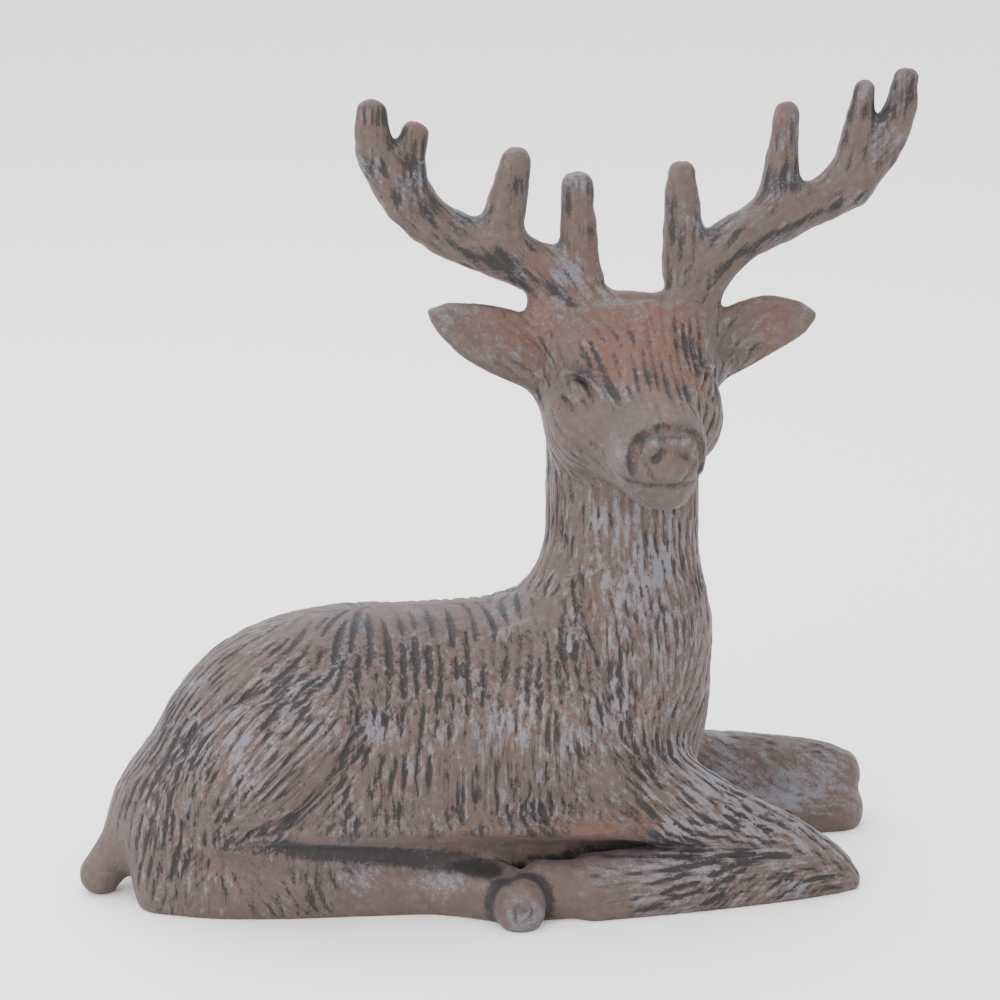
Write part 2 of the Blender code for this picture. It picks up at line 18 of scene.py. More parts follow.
import bpy
import numpy as np
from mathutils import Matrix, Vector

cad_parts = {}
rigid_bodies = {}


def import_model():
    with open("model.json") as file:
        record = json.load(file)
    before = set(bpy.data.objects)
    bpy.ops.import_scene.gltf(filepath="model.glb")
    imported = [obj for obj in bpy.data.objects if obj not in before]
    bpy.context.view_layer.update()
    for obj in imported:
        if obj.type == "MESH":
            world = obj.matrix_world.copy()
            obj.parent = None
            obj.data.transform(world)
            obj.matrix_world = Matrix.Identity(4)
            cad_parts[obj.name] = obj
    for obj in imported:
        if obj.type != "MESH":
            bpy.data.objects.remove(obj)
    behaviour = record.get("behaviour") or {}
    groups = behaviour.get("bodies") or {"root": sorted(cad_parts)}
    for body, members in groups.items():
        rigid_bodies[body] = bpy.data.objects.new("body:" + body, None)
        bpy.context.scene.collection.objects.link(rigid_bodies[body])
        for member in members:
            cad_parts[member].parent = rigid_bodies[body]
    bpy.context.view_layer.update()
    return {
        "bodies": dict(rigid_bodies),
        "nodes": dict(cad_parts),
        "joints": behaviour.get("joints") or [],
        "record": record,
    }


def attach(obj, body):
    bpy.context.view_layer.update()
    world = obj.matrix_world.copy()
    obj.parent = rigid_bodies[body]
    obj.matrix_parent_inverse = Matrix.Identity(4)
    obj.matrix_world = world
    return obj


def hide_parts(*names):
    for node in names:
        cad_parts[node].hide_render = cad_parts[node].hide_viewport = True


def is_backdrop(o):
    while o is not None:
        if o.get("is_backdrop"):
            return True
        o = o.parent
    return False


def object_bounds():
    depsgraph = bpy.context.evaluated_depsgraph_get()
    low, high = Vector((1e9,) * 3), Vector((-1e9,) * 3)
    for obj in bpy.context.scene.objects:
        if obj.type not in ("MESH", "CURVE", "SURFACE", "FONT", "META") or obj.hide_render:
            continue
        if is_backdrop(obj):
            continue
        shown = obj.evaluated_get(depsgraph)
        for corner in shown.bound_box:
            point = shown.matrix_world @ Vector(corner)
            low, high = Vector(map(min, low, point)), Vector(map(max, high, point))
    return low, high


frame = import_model()
PART = 0.001                    # one part of the form, in metres

# %% [markdown]
# ## Clay that is a distance
#
# A sculptor adds a lump, smooths its edge into the rest and draws a tool through it. Here each
# lump is a function that says how far a point is from its skin, below nought inside. Joining
# two lumps is then the lower of two numbers, a cut is the same with the sign turned, and a
# fillet is a small correction where both are nearly equal. No seams are left to hide, which is
# why this suits a casting better than parts pushed into each other.

# %% Distances, joins and cuts
def blend(a, b, fillet):
    """The lower of two distances, eased by a fillet where they are nearly equal:
    min(a, b) less a quarter of h squared over the fillet, with h = fillet - |a - b|."""
    near = np.maximum(fillet - np.abs(a - b), 0)
    return np.minimum(a, b) - near * near / (4 * fillet)


def carve(a, b, fillet):
    """What is left of a when b is cut out of it, with the same fillet on the cut's edge."""
    return -blend(-a, b, fillet)


def turned(yaw=0.0, pitch=0.0, roll=0.0):
    """Three rows: right, forward and up of a thing that faces -Y, then turned towards +X by
    yaw, lifted by pitch and leant by roll, in degrees."""
    a, p, r = (math.radians(v) for v in (yaw, pitch, roll))
    forward = np.array([math.sin(a) * math.cos(p), -math.cos(a) * math.cos(p), math.sin(p)])
    right = np.array([math.cos(a), math.sin(a), 0.0])
    up = np.cross(forward, right)
    up *= np.sign(up[2])
    return np.array([right * math.cos(r) + up * math.sin(r), forward,
                     up * math.cos(r) - right * math.sin(r)])


def out_of_reach(points, low, high, reach=26.0):
    """How far a box lies from a whole block of points, or 0 where that is within reach."""
    gap = np.maximum(np.maximum(low - points.max(0), points.min(0) - high), 0)
    far = float(np.linalg.norm(gap))
    return far if far > reach else 0.0


def egg(points, centre, radii, frame=None):
    """Distance to an ellipsoid: k (k - 1) / g, where k is the distance from its centre in
    radii and g the length of (offset / radius squared)."""
    centre, radii = np.asarray(centre, float), np.asarray(radii, float)
    far = out_of_reach(points, centre - radii.max(), centre + radii.max())
    if far:
        return np.full(len(points), far, np.float32)
    v = points - centre.astype(np.float32)
    if frame is not None:
        v = v @ np.asarray(frame, np.float32).T
    s = v / radii.astype(np.float32)
    k = np.sqrt((s * s).sum(1))
    g = np.sqrt(((s / radii.astype(np.float32)) ** 2).sum(1))
    return k * (k - 1) / np.maximum(g, 1e-6)


def smooth_path(knots, steps):
    """Points of a curve that passes through every knot (Catmull-Rom), steps to a span."""
    k = np.asarray(knots, float)
    k = np.vstack([2 * k[0] - k[1], k, 2 * k[-1] - k[-2]])
    t = np.linspace(0, 1, steps, endpoint=False)[:, None]
    spans = [0.5 * (2 * b + (c - a) * t + (2 * a - 5 * b + 4 * c - d) * t ** 2
                    + (3 * b - a - 3 * c + d) * t ** 3)
             for a, b, c, d in zip(k, k[1:], k[2:], k[3:])]
    return np.vstack(spans + [k[-2][None]])


def limb(points, knots, across=(0, 1, 0), steps=4, square=2.0):
    """Distance to a limb along a path. A knot is x, y, z, its radius towards `across` and its
    radius square to that. A section is |s|^n + |u|^n = 1, with n = square; ends are round."""
    rows = smooth_path(knots, steps)
    size = rows[:, 3:].max(1)[:, None]
    far = out_of_reach(points, (rows[:, :3] - size).min(0), (rows[:, :3] + size).max(0))
    if far:
        return np.full(len(points), far, np.float32)
    nearest = np.full(len(points), 1e3, np.float32)
    for a, b in zip(rows, rows[1:]):
        axis = b[:3] - a[:3]
        length = float(np.linalg.norm(axis))
        along = axis / length
        side = across - along * np.dot(across, along)
        side /= np.linalg.norm(side)
        local = (points - a[:3].astype(np.float32)) @ np.stack(
            [along, side, np.cross(along, side)], 1).astype(np.float32)
        t = np.clip(local[:, 0] / length, 0, 1)
        r_side = a[3] + (b[3] - a[3]) * t
        r_up = a[4] + (b[4] - a[4]) * t
        r = np.minimum(r_side, r_up)
        s, u = np.abs(local[:, 1]) / r_side, np.abs(local[:, 2]) / r_up
        ring = s * s + u * u if square == 2 else (s ** square + u ** square) ** (2 / square)
        w = (local[:, 0] - t * length) / r
        nearest = np.minimum(nearest, (np.sqrt(ring + w * w) - 1) * r)
    return nearest

print("an egg of radius 10, 12 from its middle:",
      egg(np.array([[12.0, 0, 0]], np.float32), (0, 0, 0), (10, 10, 10)))

# %% [markdown]
# ## The lying body
#
# Places are in parts, which are millimetres on this statue: +X is the way the body faces, -Y
# is the side that the head looks to. Most masses are limbs, that is paths with a section that
# changes along them. The near side is described, and a far one is measured on mirrored points,
# so both haunches come from one function. The forelegs differ, as they do in the photograph.

# %% Trunk, neck, haunches and legs
def mirrored(points):
    return points * np.array([1, -1, 1], np.float32)


def torso(p):
    return limb(p, [(-101, 0, 19, 19, 23), (-92, 0, 23, 26, 28), (-78, 0, 29, 32, 36),
                    (-64, 0, 36, 36, 45.5), (-48, 0, 41, 37, 46), (-28, 0, 42.5, 36.5, 44.5),
                    (0, 0, 43.7, 35.5, 44), (20, 0, 44, 33, 44), (33, 0, 44, 26, 34)],
                square=2.2)


def brisket(p):
    """Closes the body between the elbows, down to the floor."""
    return limb(p, [(-20, 0, 18, 31, 24), (12, 0, 20, 30, 25), (36, 0, 22, 22, 23)], square=2.3)


def neck(p):
    chest = egg(p, (34.7, -3, 66), (29.8, 27, 44))
    throat = limb(p, [(37.4, -1, 84, 23, 24.8), (37.4, 0, 100, 21.5, 23.6), (37.6, 1, 116, 20.5, 23.4),
                      (37.7, 2, 132, 20, 23.4), (38.5, 2, 146, 20, 23)], steps=3)
    return blend(chest, throat, 10)


def haunch(p):
    """A hind quarter: a raised plate that leans forward, its knee, and the rump behind it."""
    thigh = egg(p, (-71, -24, 48), (30, 16.5, 20), turned(90, 38)[[1, 0, 2]])
    knee = egg(p, (-54, -27, 60), (13, 11.5, 13))
    rear = limb(p, [(-70, -20, 44, 16, 20), (-88, -17, 28, 13, 20), (-99, -14, 9, 12.5, 16)],
                steps=3)
    return blend(blend(thigh, knee, 8), rear, 8)


def hind_foot(p):
    cannon = limb(p, [(-103, -14.5, 7, 11, 14), (-88, -21, 8, 10, 14.5), (-66, -24.5, 6, 9, 11.5),
                      (-36, -25.5, 5, 8.5, 11), (-8, -27.5, 5, 8.5, 11)], steps=3, square=2.4)
    fetlock = limb(p, [(-18, -29, 6, 8, 11), (-7, -35, 7, 8.5, 10), (0, -42, 7, 7.5, 8.5)],
                   steps=2)
    hoof = carve(egg(p, (0.5, -46, 6.2), (7.6, 7.5, 9)), egg(p, (0, -53.6, 7), (3.2, 1.6, 3.6)), 1.4)
    return blend(blend(cannon, fetlock, 3), hoof, 2)


def shoulder(p):
    return egg(p, (14, -21, 52), (27, 17.5, 26), turned(90, -25)[[1, 0, 2]])


def near_foreleg(p):
    """Forearm down to a pointed knee, and the cannon folded back under it to its hoof."""
    forearm = limb(p, [(30, -23, 40, 13, 17), (50, -25, 30, 12, 14), (66, -27, 22, 10, 12),
                       (82, -28, 14.5, 9, 11), (96, -27, 6.5, 8, 9), (103.5, -26, 2, 5, 5.5)],
                   steps=3, square=2.2)
    cannon = limb(p, [(102, -25, 1, 5, 6), (92, -27, 3, 8, 10), (74, -30, 6, 9.5, 12),
                      (50, -34, 6.5, 9.5, 12), (24, -37, 6.5, 9.5, 11.5)], steps=3, square=2.4)
    hoof = limb(p, [(16, -37, 7, 8, 9.5), (8, -37, 7, 8, 10)], steps=2)
    return blend(shoulder(p), forearm, 12), cannon, hoof


def far_foreleg(p):
    """The other foreleg lies straighter and ends in a blunt, rounded knee."""
    forearm = limb(p, [(30, -23, 40, 13, 17), (58, -27, 23, 10, 13.5), (84, -31, 18.5, 8.5, 12.5),
                       (104, -32, 14.5, 8.5, 13), (111.5, -32, 11, 8.5, 13.5)],
                   steps=3, square=2.4)
    cannon = limb(p, [(112, -29, 5, 10, 10), (88, -28, 5, 9.5, 10.5), (58, -29, 5, 9.5, 11),
                      (28, -32, 5, 9.5, 11), (14, -32, 5, 9.5, 11)], steps=3, square=2.4)
    return blend(shoulder(p), forearm, 12), cannon


def belly_edge(p):
    return limb(p, [(-86, -25, 25, 8, 4), (-60, -29, 28, 9, 4), (-26, -30.5, 28, 9, 4),
                    (7, -31, 27, 9, 4), (37, -31, 25, 8, 4), (76, -28, 19, 7, 4)], steps=3)


def tail(p):
    return limb(p, [(-112, 0, 22, 8, 8), (-118.5, -1, 12.5, 7, 7), (-123.8, -2, 5.6, 6.5, 6.5)],
                steps=3)


print("trunk half width at the flank:",
      round(-float(torso(np.array([[-28.0, 0, 44]], np.float32))[0]), 1))

# %% [markdown]
# ## The head
#
# The head has directions of its own, right, forward and up, so that it can be turned and
# tipped as one. Points are folded onto one side for whatever comes in pairs: cheeks, brows,
# lids and nostrils. The nose pad stands in a cut ring, as on the real face.

# %% Skull, face and mouth
HEAD_AT = np.array([39.0, -4.0, 158.0])
HEAD = turned(5, -6)
HEAD_REACH = 56             # nothing of the head lies farther out


def in_head(p):
    q = (p - HEAD_AT.astype(np.float32)) @ HEAD.T.astype(np.float32)
    s = q.copy()
    s[:, 0] = np.abs(s[:, 0])
    return q, s


def head(p):
    if out_of_reach(p, HEAD_AT - HEAD_REACH, HEAD_AT + HEAD_REACH):
        return np.full(len(p), HEAD_REACH, np.float32)
    q, s = in_head(p)
    skull = egg(q, (0, -2, 1), (23, 23, 23))
    poll = limb(q, [(-15, -3, 12.5, 9, 9), (0, -3, 15, 9, 9), (15, -3, 12.5, 9, 9)], steps=2)
    skull = blend(skull, poll, 8)
    forehead = q @ np.array([0, 0.56, 0.83], np.float32) - 17.0
    skull = carve(skull, -forehead, 5)
    cheek = egg(s, (14.4, 5, -11), (12.6, 18, 15))
    muzzle = limb(q, [(0, 6, -4, 17, 15.4), (0, 24, -8.4, 15, 13.6), (0, 37, -10.5, 13.5, 13.2)],
                  across=(1, 0, 0), steps=3, square=2.5)
    chin = egg(q, (1.5, 35, -22.5), (7.5, 12, 6))
    jaw = limb(s, [(13, 2, -16, 9, 8.5), (8.5, 22, -18.5, 7.5, 6.5), (4, 34, -21, 5.5, 5)],
               across=(1, 0, 0), steps=3)
    d = blend(blend(skull, cheek, 8), muzzle, 7)
    d = blend(d, blend(chin, jaw, 6), 4)
    brow = limb(s, [(23.0, 8.5, 5.0, 0.8, 0.8), (20.8, 13, 6.1, 1.1, 1.1), (17.6, 17.4, 5.4, 1.2, 1.1),
                    (14.2, 22.5, 3.4, 1.1, 1.0), (12.0, 27, 1.4, 0.7, 0.7)])
    hairline = limb(q, [(-24, -3.4, 14.6, 0.6, 0.6), (-17.5, -4.4, 20.5, 0.8, 0.8),
                        (-9.5, -5.2, 22.6, 0.8, 0.8), (2.8, -5.2, 23.2, 0.8, 0.8),
                        (11.6, -4.6, 22.2, 0.8, 0.8), (20, -3.6, 19.9, 0.6, 0.6)])
    return eyes(carve(blend(d, brow, 2.5), hairline, 1), s)


EYE_AT = np.array([20.3, 14.7, 0.8])
EYE = np.array([(-0.51, 0.84, -0.19), (-0.37, -0.02, 0.93), (0.80, 0.50, 0.33)])


def eyes(d, s):
    """A hollow, the ball in it and two lids, set along EYE: forward, up and out of the face."""
    frame = EYE / np.linalg.norm(EYE, axis=1)[:, None]
    at = EYE_AT @ frame.T
    e = s @ frame.T.astype(np.float32) - at.astype(np.float32)
    d = carve(d, egg(e, (0.3, 0.2, 1.2), (5.6, 4.2, 2.4)), 3)
    d = blend(d, egg(e, (0, 0, -1.2), (3.3, 2.5, 2.3)), 0.5)
    for height in (2.6, -2.3):
        lid = [(-4.6 * math.cos(t), height * math.sin(t), 0.1 - 0.9 * abs(math.cos(t)), r, r)
               for t, r in ((0.1, 0.6), (0.8, 0.8), (1.6, 0.9), (2.3, 0.8), (3.04, 0.6))]
        d = blend(d, limb(e, lid, (0, 0, 1), 3), 0.8)
    return d


def nose_and_mouth(d, p):
    """The pad stands inside a cut ring; nostrils, the lip under them and the mouth are cut."""
    if out_of_reach(p, HEAD_AT - HEAD_REACH, HEAD_AT + HEAD_REACH):
        return d
    q, s = in_head(p)
    ring = limb(s, [(0, 46.3, -0.4, 1.6, 2.0), (5.6, 46.1, -1.4, 1.6, 2.1), (9.9, 45.3, -6.0, 1.6, 2.2),
                    (10.9, 45.0, -11.0, 1.5, 2.1), (10.2, 45.2, -15.2, 1.2, 1.3)], steps=3)
    d = carve(d, ring, 0.9)
    d = blend(d, egg(s, (4.8, 46.5, -4.9), (3.1, 3.1, 2.5)), 1.0)
    d = blend(d, egg(q, (0, 44.0, -12.4), (8.2, 6.3, 5.6)), 1.2)
    nostril = limb(s, [(1.2, 49.6, -5.4, 0.8, 0.8), (3.2, 50.0, -7.5, 1.3, 1.2),
                       (6.0, 48.9, -8.9, 0.9, 0.9)])
    lip = limb(s, [(7.8, 47.6, -9.8, 0.6, 0.6), (5.9, 48.9, -13.2, 0.8, 0.8),
                   (3.8, 48.7, -16.2, 0.6, 0.6)])
    d = carve(carve(d, nostril, 0.8), lip, 0.8)
    mouth = limb(s, [(0, 48.5, -17.6, 1.2, 1.2), (5, 47.6, -17.6, 1.2, 1.2), (9, 45.0, -17.7, 1.1, 1.1),
                     (11.8, 40.8, -17.5, 1.0, 1.0), (13.4, 35, -16.5, 0.6, 0.6)])
    return carve(d, mouth, 0.8)


print("the muzzle points along", np.round(HEAD[1], 2))

# %% [markdown]
# ## Ears and antlers
#
# An ear is a leaf with a slimmer leaf cut out of its front. The antlers are cast stout so that
# the iron fills them: nearly square beams with blunt tines, four points on each side.

# %% Ears and antlers
def ear(p, root, middle, tip, widths):
    """A leaf from root to tip, hollowed on its front by a slimmer leaf."""
    root, middle, tip = (np.asarray(v, float) for v in (root, middle, tip))
    across = np.cross(tip - root, (0, -1, 0))
    late = middle * 0.35 + tip * 0.65
    front = np.array([0, -5.2, 0])
    leaf = limb(p, [(*root, widths[0], 5), (*middle, widths[1], 4.4), (*late, widths[2], 3.4),
                    (*tip, 1.2, 2)], across, 5)
    hollow = limb(p, [(*(root * 0.72 + middle * 0.28 + front), widths[0] * 0.42, 3.6),
                      (*(middle + front), widths[1] * 0.70, 4.0),
                      (*(late + front * 0.9), widths[2] * 0.62, 3.0),
                      (*(middle * 0.12 + tip * 0.88 + front * 0.75), 0.8, 1.6)], across, 5)
    return carve(leaf, hollow, 2.4)


def antler(p, beam, tines, depth=0.82):
    """A curved beam with tines, nearly square in section and `depth` as deep as wide."""
    def stem(knots, steps):
        return limb(p, [(x, y, z, r * depth, r) for x, y, z, r in knots], steps=steps, square=2.6)
    d = stem(beam, 4)
    for tine in tines:
        d = blend(d, stem(tine, 3), 4)
    return d


LEFT_BEAM = [(33, 2, 168, 8), (23.5, 3, 182, 7.8), (11, 4, 190.5, 7.7), (-6, 4, 197.2, 7.5),
             (-20, 4, 204.4, 7.1), (-30.5, 2, 215, 6.5), (-37.3, 0, 228, 5.7), (-38, -1, 238.8, 4.3)]
LEFT_TINES = [[(24.6, 4, 188, 6.4), (24, 4, 202, 5.5), (23.4, 3, 215.8, 4.5)],
              [(0, 4, 199, 6.6), (2.8, 4, 211, 5.7), (5, 3, 223.2, 4.5)],
              [(-26, 3, 211, 6), (-27, 2, 220, 5.1), (-24.9, 1, 232, 4.1)]]
RIGHT_BEAM = [(53, 3, 168, 8), (60, 5, 182, 7.6), (70, 7, 194.8, 7.7), (87, 9, 203.6, 7.2),
              (103, 10, 209.8, 6.5), (114.8, 11, 219.5, 5.9), (122, 11, 232, 5.1),
              (124.3, 10, 244.6, 3.9)]
RIGHT_TINES = [[(57, 6, 188, 7), (55.8, 6, 204, 5.7), (55.2, 5, 218, 4.1)],
               [(86, 9, 203, 7.2), (86.6, 9, 218, 5.3), (87.6, 8, 235.5, 3.7)],
               [(106.5, 10, 211, 6.4), (109.4, 10, 225, 4.9), (111.4, 10, 241.5, 3.4)]]


print("tines on each side:", len(LEFT_TINES) + 1, "and", len(RIGHT_TINES) + 1)

# %% [markdown]
# ## All of it together
#
# Long folds separate the masses: under the belly, behind the shoulder and before the haunch.
# They are cut before the head and antlers join, so no fold runs up into them.

# %% Folds and the whole animal
def ridges(d, p):
    """The raised fold of skin over one shoulder blade."""
    blade = [(-3, -19.4, 82.6, 0.8, 0.8), (4, -18.4, 84.4, 1.5, 1.4), (11, -20.6, 85.2, 1.9, 1.7),
             (18, -25.2, 83.6, 1.7, 1.6), (23.5, -29.2, 78.6, 1.0, 1.0)]
    return blend(d, limb(p, blade), 3.5)


def creases(d, p):
    """The long folds between the masses of one side."""
    under_belly = [(-80, -36, 23.5, 3, 1.5), (-66, -38, 22.5, 5, 2.6), (-30, -39, 19, 6, 3.2),
                   (-14, -40, 18.5, 6, 3.6), (-3, -43, 17, 6, 3.2)]
    behind_shoulder = [(-3, -26, 78, 0.9, 1), (-4.6, -33, 70, 1.7, 2.2), (-5, -36.4, 62, 1.8, 2.4),
                       (-4.8, -37.6, 49, 1.4, 1.8), (-4, -37, 37, 0.9, 1)]
    before_haunch = [(-48, -32.8, 70.5, 0.7, 0.8), (-45.9, -35.4, 65.5, 1.0, 1.2),
                     (-47.6, -37.2, 59.3, 1.1, 1.4), (-50.6, -37.5, 53, 1.1, 1.4),
                     (-54.5, -37.2, 44.8, 1.1, 1.3), (-61.6, -37, 37, 1.0, 1.2),
                     (-70.1, -36.4, 32, 0.9, 1.0), (-79, -35.2, 29, 0.7, 0.7)]
    above_haunch = [(-99, -23.3, 49, 0.8, 0.9), (-94.2, -20.8, 58.7, 1.2, 1.3),
                    (-86.1, -22.6, 65.6, 1.3, 1.4), (-74.4, -28.2, 69.4, 1.2, 1.3),
                    (-63.6, -33.6, 70.6, 0.9, 1)]
    mane_edge = [(18, -11.8, 109.6, 0.9, 0.9), (21.1, -20.8, 96.7, 1.4, 1.4),
                 (24.8, -27.3, 85.4, 1.7, 1.7), (28, -31.2, 74, 1.7, 1.7), (29.7, -34.3, 64.7, 1.7, 1.7),
                 (30.6, -37, 54.2, 1.5, 1.5), (36, -36.8, 46.4, 1.6, 1.8), (44.6, -35.6, 41, 1.0, 1.2)]
    for fold in (under_belly, behind_shoulder, before_haunch, above_haunch, mane_edge):
        d = carve(d, limb(p, fold), 2)
    return d


def bare_stag(p):
    """The whole animal without its fur, and without the floor's cut."""
    sides = (p, mirrored(p))
    body = blend(torso(p), brisket(p), 6)
    for side in sides:
        body = blend(body, haunch(side), 4)
    body = blend(body, neck(p), 12)
    near_arm, near_cannon, near_hoof = near_foreleg(p)
    far_arm, far_cannon = far_foreleg(sides[1])
    body = blend(blend(body, near_arm, 6), far_arm, 6)
    for side in sides:
        body = blend(body, belly_edge(side), 4)
    for foot in (hind_foot(p), hind_foot(sides[1]), near_cannon, far_cannon, near_hoof):
        body = blend(body, foot, 1.4)
    for side in sides:
        body = creases(ridges(body, side), side)
    body = blend(body, tail(p), 3)
    top = blend(head(p), ear(p, (15, 0, 163), (-3, -1, 170.4), (-21, -2, 178.8), (11, 9.8, 6)), 7)
    top = blend(top, ear(p, (64, 4, 163), (80, 6, 170), (97, 8, 173), (10, 9.6, 6.2)), 7)
    top = blend(top, egg(p, (15.5, 2, 179), (6, 5, 5)), 5)
    body = nose_and_mouth(blend(body, top, 5), p)
    body = blend(body, antler(p, LEFT_BEAM, LEFT_TINES), 4)
    return blend(body, antler(p, RIGHT_BEAM, RIGHT_TINES), 4)


print("a point inside the chest is", bare_stag(np.array([[34.0, 0, 66]], np.float32)),
      "parts from the skin")

# %% [markdown]
# ## From distances to a skin
#
# The distances are measured on a lattice, finely only near the skin. Every lattice cell that
# the skin crosses gets one vertex, and every lattice edge that crosses it gets one quad. The
# result is closed by its nature, with even faces that take a carved coat well.

# %% Measuring and meshing
def measured(distance, low, high, step, coarse=4, margin=2.0):
    """Distances on a lattice. A coarse one is measured first, and the fine one only near the
    skin; elsewhere it holds the margin with the coarse sign."""
    low = np.asarray(low, float)
    count = (np.ceil((np.asarray(high) - low) / step / coarse).astype(int) + 1)
    big = step * coarse
    axes = [low[i] + (np.arange(count[i]) + 0.5) * big - 0.5 * step for i in range(3)]
    middles = np.stack(np.meshgrid(*axes, indexing="ij"), -1).reshape(-1, 3).astype(np.float32)
    rough = np.concatenate([distance(block) for block in np.array_split(middles, 40)])
    rough = rough.reshape(count)
    spread = np.ones((coarse, coarse, coarse), bool)
    near = np.kron(np.abs(rough) < 0.9 * big + margin, spread)
    fine = np.kron(np.where(rough < 0, -margin, margin).astype(np.float32), spread)
    points = (low + np.argwhere(near) * step).astype(np.float32)
    blocks = np.array_split(points, max(1, len(points) // 30000))
    fine[near] = np.concatenate([distance(block) for block in blocks])
    return settled(eased(fine))


def eased(d):
    """Half of each distance and half of the mean of its six neighbours', which rounds off
    whatever is thinner than the lattice can show."""
    ends = np.pad(d, 1, mode="edge")
    around = sum(np.roll(ends, shift, axis) for axis in range(3) for shift in (-1, 1))
    return 0.5 * d + around[1:-1, 1:-1, 1:-1] / 12


def settled(d, slight=0.02):
    """Takes in the nearer outer corner of each lattice square whose corners are in and out
    by turns, because the skin would meet itself there in one edge."""
    while True:
        clashes = 0
        for u, v in ((0, 1), (0, 2), (1, 2)):
            a, b = [slice(None)] * 3, [slice(None)] * 3
            a[u], b[u] = slice(0, -1), slice(1, None)
            inside = d < 0
            square = []
            for first in (a, b):
                for cut in (slice(0, -1), slice(1, None)):
                    first[v] = cut
                    square.append(inside[tuple(first)])
            aa, ab, ba, bb = square
            for corner in np.argwhere((aa == bb) & (ab == ba) & (aa != ab)):
                ring = np.repeat(corner[None], 4, 0)
                ring[2:, u] += 1
                ring[1::2, v] += 1
                values = d[tuple(ring.T)]
                nearest = ring[np.argmin(np.where(values < 0, 1e3, values))]
                d[tuple(nearest)] = -slight
                clashes += 1
        if not clashes:
            return d


def skin(d, low, step):
    """Closed quads round the inside of a lattice of distances: one vertex in each cell that
    the skin crosses, at the mean of the crossings on its edges, and one quad for each lattice
    edge that crosses it, between the four cells round that edge."""
    inside = d < 0
    cells = np.array(d.shape) - 1
    corners = [(i, j, k) for i in (0, 1) for j in (0, 1) for k in (0, 1)]
    count = sum(inside[tuple(slice(o, o + n) for o, n in zip(c, cells))].astype(np.int8)
                for c in corners)
    crossed = (count > 0) & (count < 8)
    where = np.argwhere(crossed)
    number = np.full(crossed.shape, -1)
    number[crossed] = np.arange(len(where))
    total, hits = np.zeros((len(where), 3)), np.zeros(len(where))
    for c in corners:
        for axis in (i for i in range(3) if not c[i]):
            step_to = np.eye(3, dtype=int)[axis]
            a = d[tuple((where + c).T)].astype(float)
            b = d[tuple((where + c + step_to).T)].astype(float)
            cross = (a < 0) != (b < 0)
            share = np.where(cross, a / np.where(cross, a - b, 1), 0)
            total += (np.array(c) + step_to * share[:, None]) * cross[:, None]
            hits += cross
    vertices = np.asarray(low) + (where + total / hits[:, None]) * step
    quads = []
    for axis in range(3):
        u, v = (axis + 1) % 3, (axis + 2) % 3
        first, second = [slice(1, -1)] * 3, [slice(1, -1)] * 3
        first[axis], second[axis] = slice(0, -1), slice(1, None)
        a, b = inside[tuple(first)], inside[tuple(second)]
        for leaving, order in ((a & ~b, 1), (b & ~a, -1)):
            edge = np.argwhere(leaving)
            edge[:, u] += 1
            edge[:, v] += 1
            ring = []
            for du, dv in ((-1, -1), (0, -1), (0, 0), (-1, 0)):
                cell = edge.copy()
                cell[:, u] += du
                cell[:, v] += dv
                ring.append(number[tuple(cell.T)])
            quads.append(np.stack(ring, 1)[:, ::order])
    return vertices, np.vstack(quads)

# %% [markdown]
# ## The bare skin
#
# A finer lattice than the solid's gives faces small enough for a carved coat. The same lattice
# is kept, because it answers two questions later on: which way is out, and how far is the skin.

# %% The bare stag as a mesh
LATTICE = 0.8
LOW, HIGH = np.array([-136.0, -58.0, -3.0]), np.array([136.0, 58.0, 254.0])


def standing(p):
    """The stag cut flat at the floor: the greater of its distance and minus the height."""
    return np.maximum(bare_stag(p), -p[:, 2])


depth = measured(standing, LOW, HIGH, LATTICE)
places, quads = skin(depth, LOW, LATTICE)
print(len(places), "places and", len(quads), "quads on the bare skin")

# %% [markdown]
# ## Reading a lattice anywhere
#
# Hair runs between the lattice's points, so values are read between them too: the eight
# corners round a place count for as much as the place is near to them. Four numbers are
# kept at each point, the way out and the depth, which say where the skin is from anywhere.

# %% Reading between lattice points
def read(grid, p, low, step):
    """Values at p: the sum over the eight corners of (nearness along x, y and z) x value."""
    at = np.clip((p - low) / step, 0, np.array(grid.shape[:3]) - 1.001)
    corner = at.astype(np.int32)
    far = (at - corner).astype(np.float32)
    total = 0
    for i in (0, 1):
        for j in (0, 1):
            for k in (0, 1):
                share = (far[:, 0] if i else 1 - far[:, 0]) * (far[:, 1] if j else 1 - far[:, 1])
                share = share * (far[:, 2] if k else 1 - far[:, 2])
                value = grid[corner[:, 0] + i, corner[:, 1] + j, corner[:, 2] + k]
                total = total + value * share[:, None]
    return total


out_and_depth = np.stack([*np.gradient(depth, LATTICE), depth], -1).astype(np.float32)


def outward(p):
    """The way out at p, one long, and the depth of p."""
    v = read(out_and_depth, p, LOW, LATTICE)
    return v[:, :3] / np.maximum(np.linalg.norm(v[:, :3], axis=1), 1e-6)[:, None], v[:, 3]


def onto_skin(p, times=2):
    """p moved out or in by its depth, a few times over."""
    for _ in range(times):
        way, deep = outward(p)
        p = p - way * np.clip(deep, -1.5, 1.5)[:, None]
    return p


print("the back faces", np.round(outward(np.array([[-30.0, 0.0, 87.0]]))[0], 2))

# %% [markdown]
# ## The way the hair lies
#
# On the real stag the strokes hang down the flanks, slant across the haunch, run out along the
# forearm and fall down the neck and brow. Some ninety guides say so: a place, the way the hair
# runs there, how deep it is cut and how far apart the strokes lie. Between guides the nearest
# ones decide. The antlers' guides are read from their own stems.

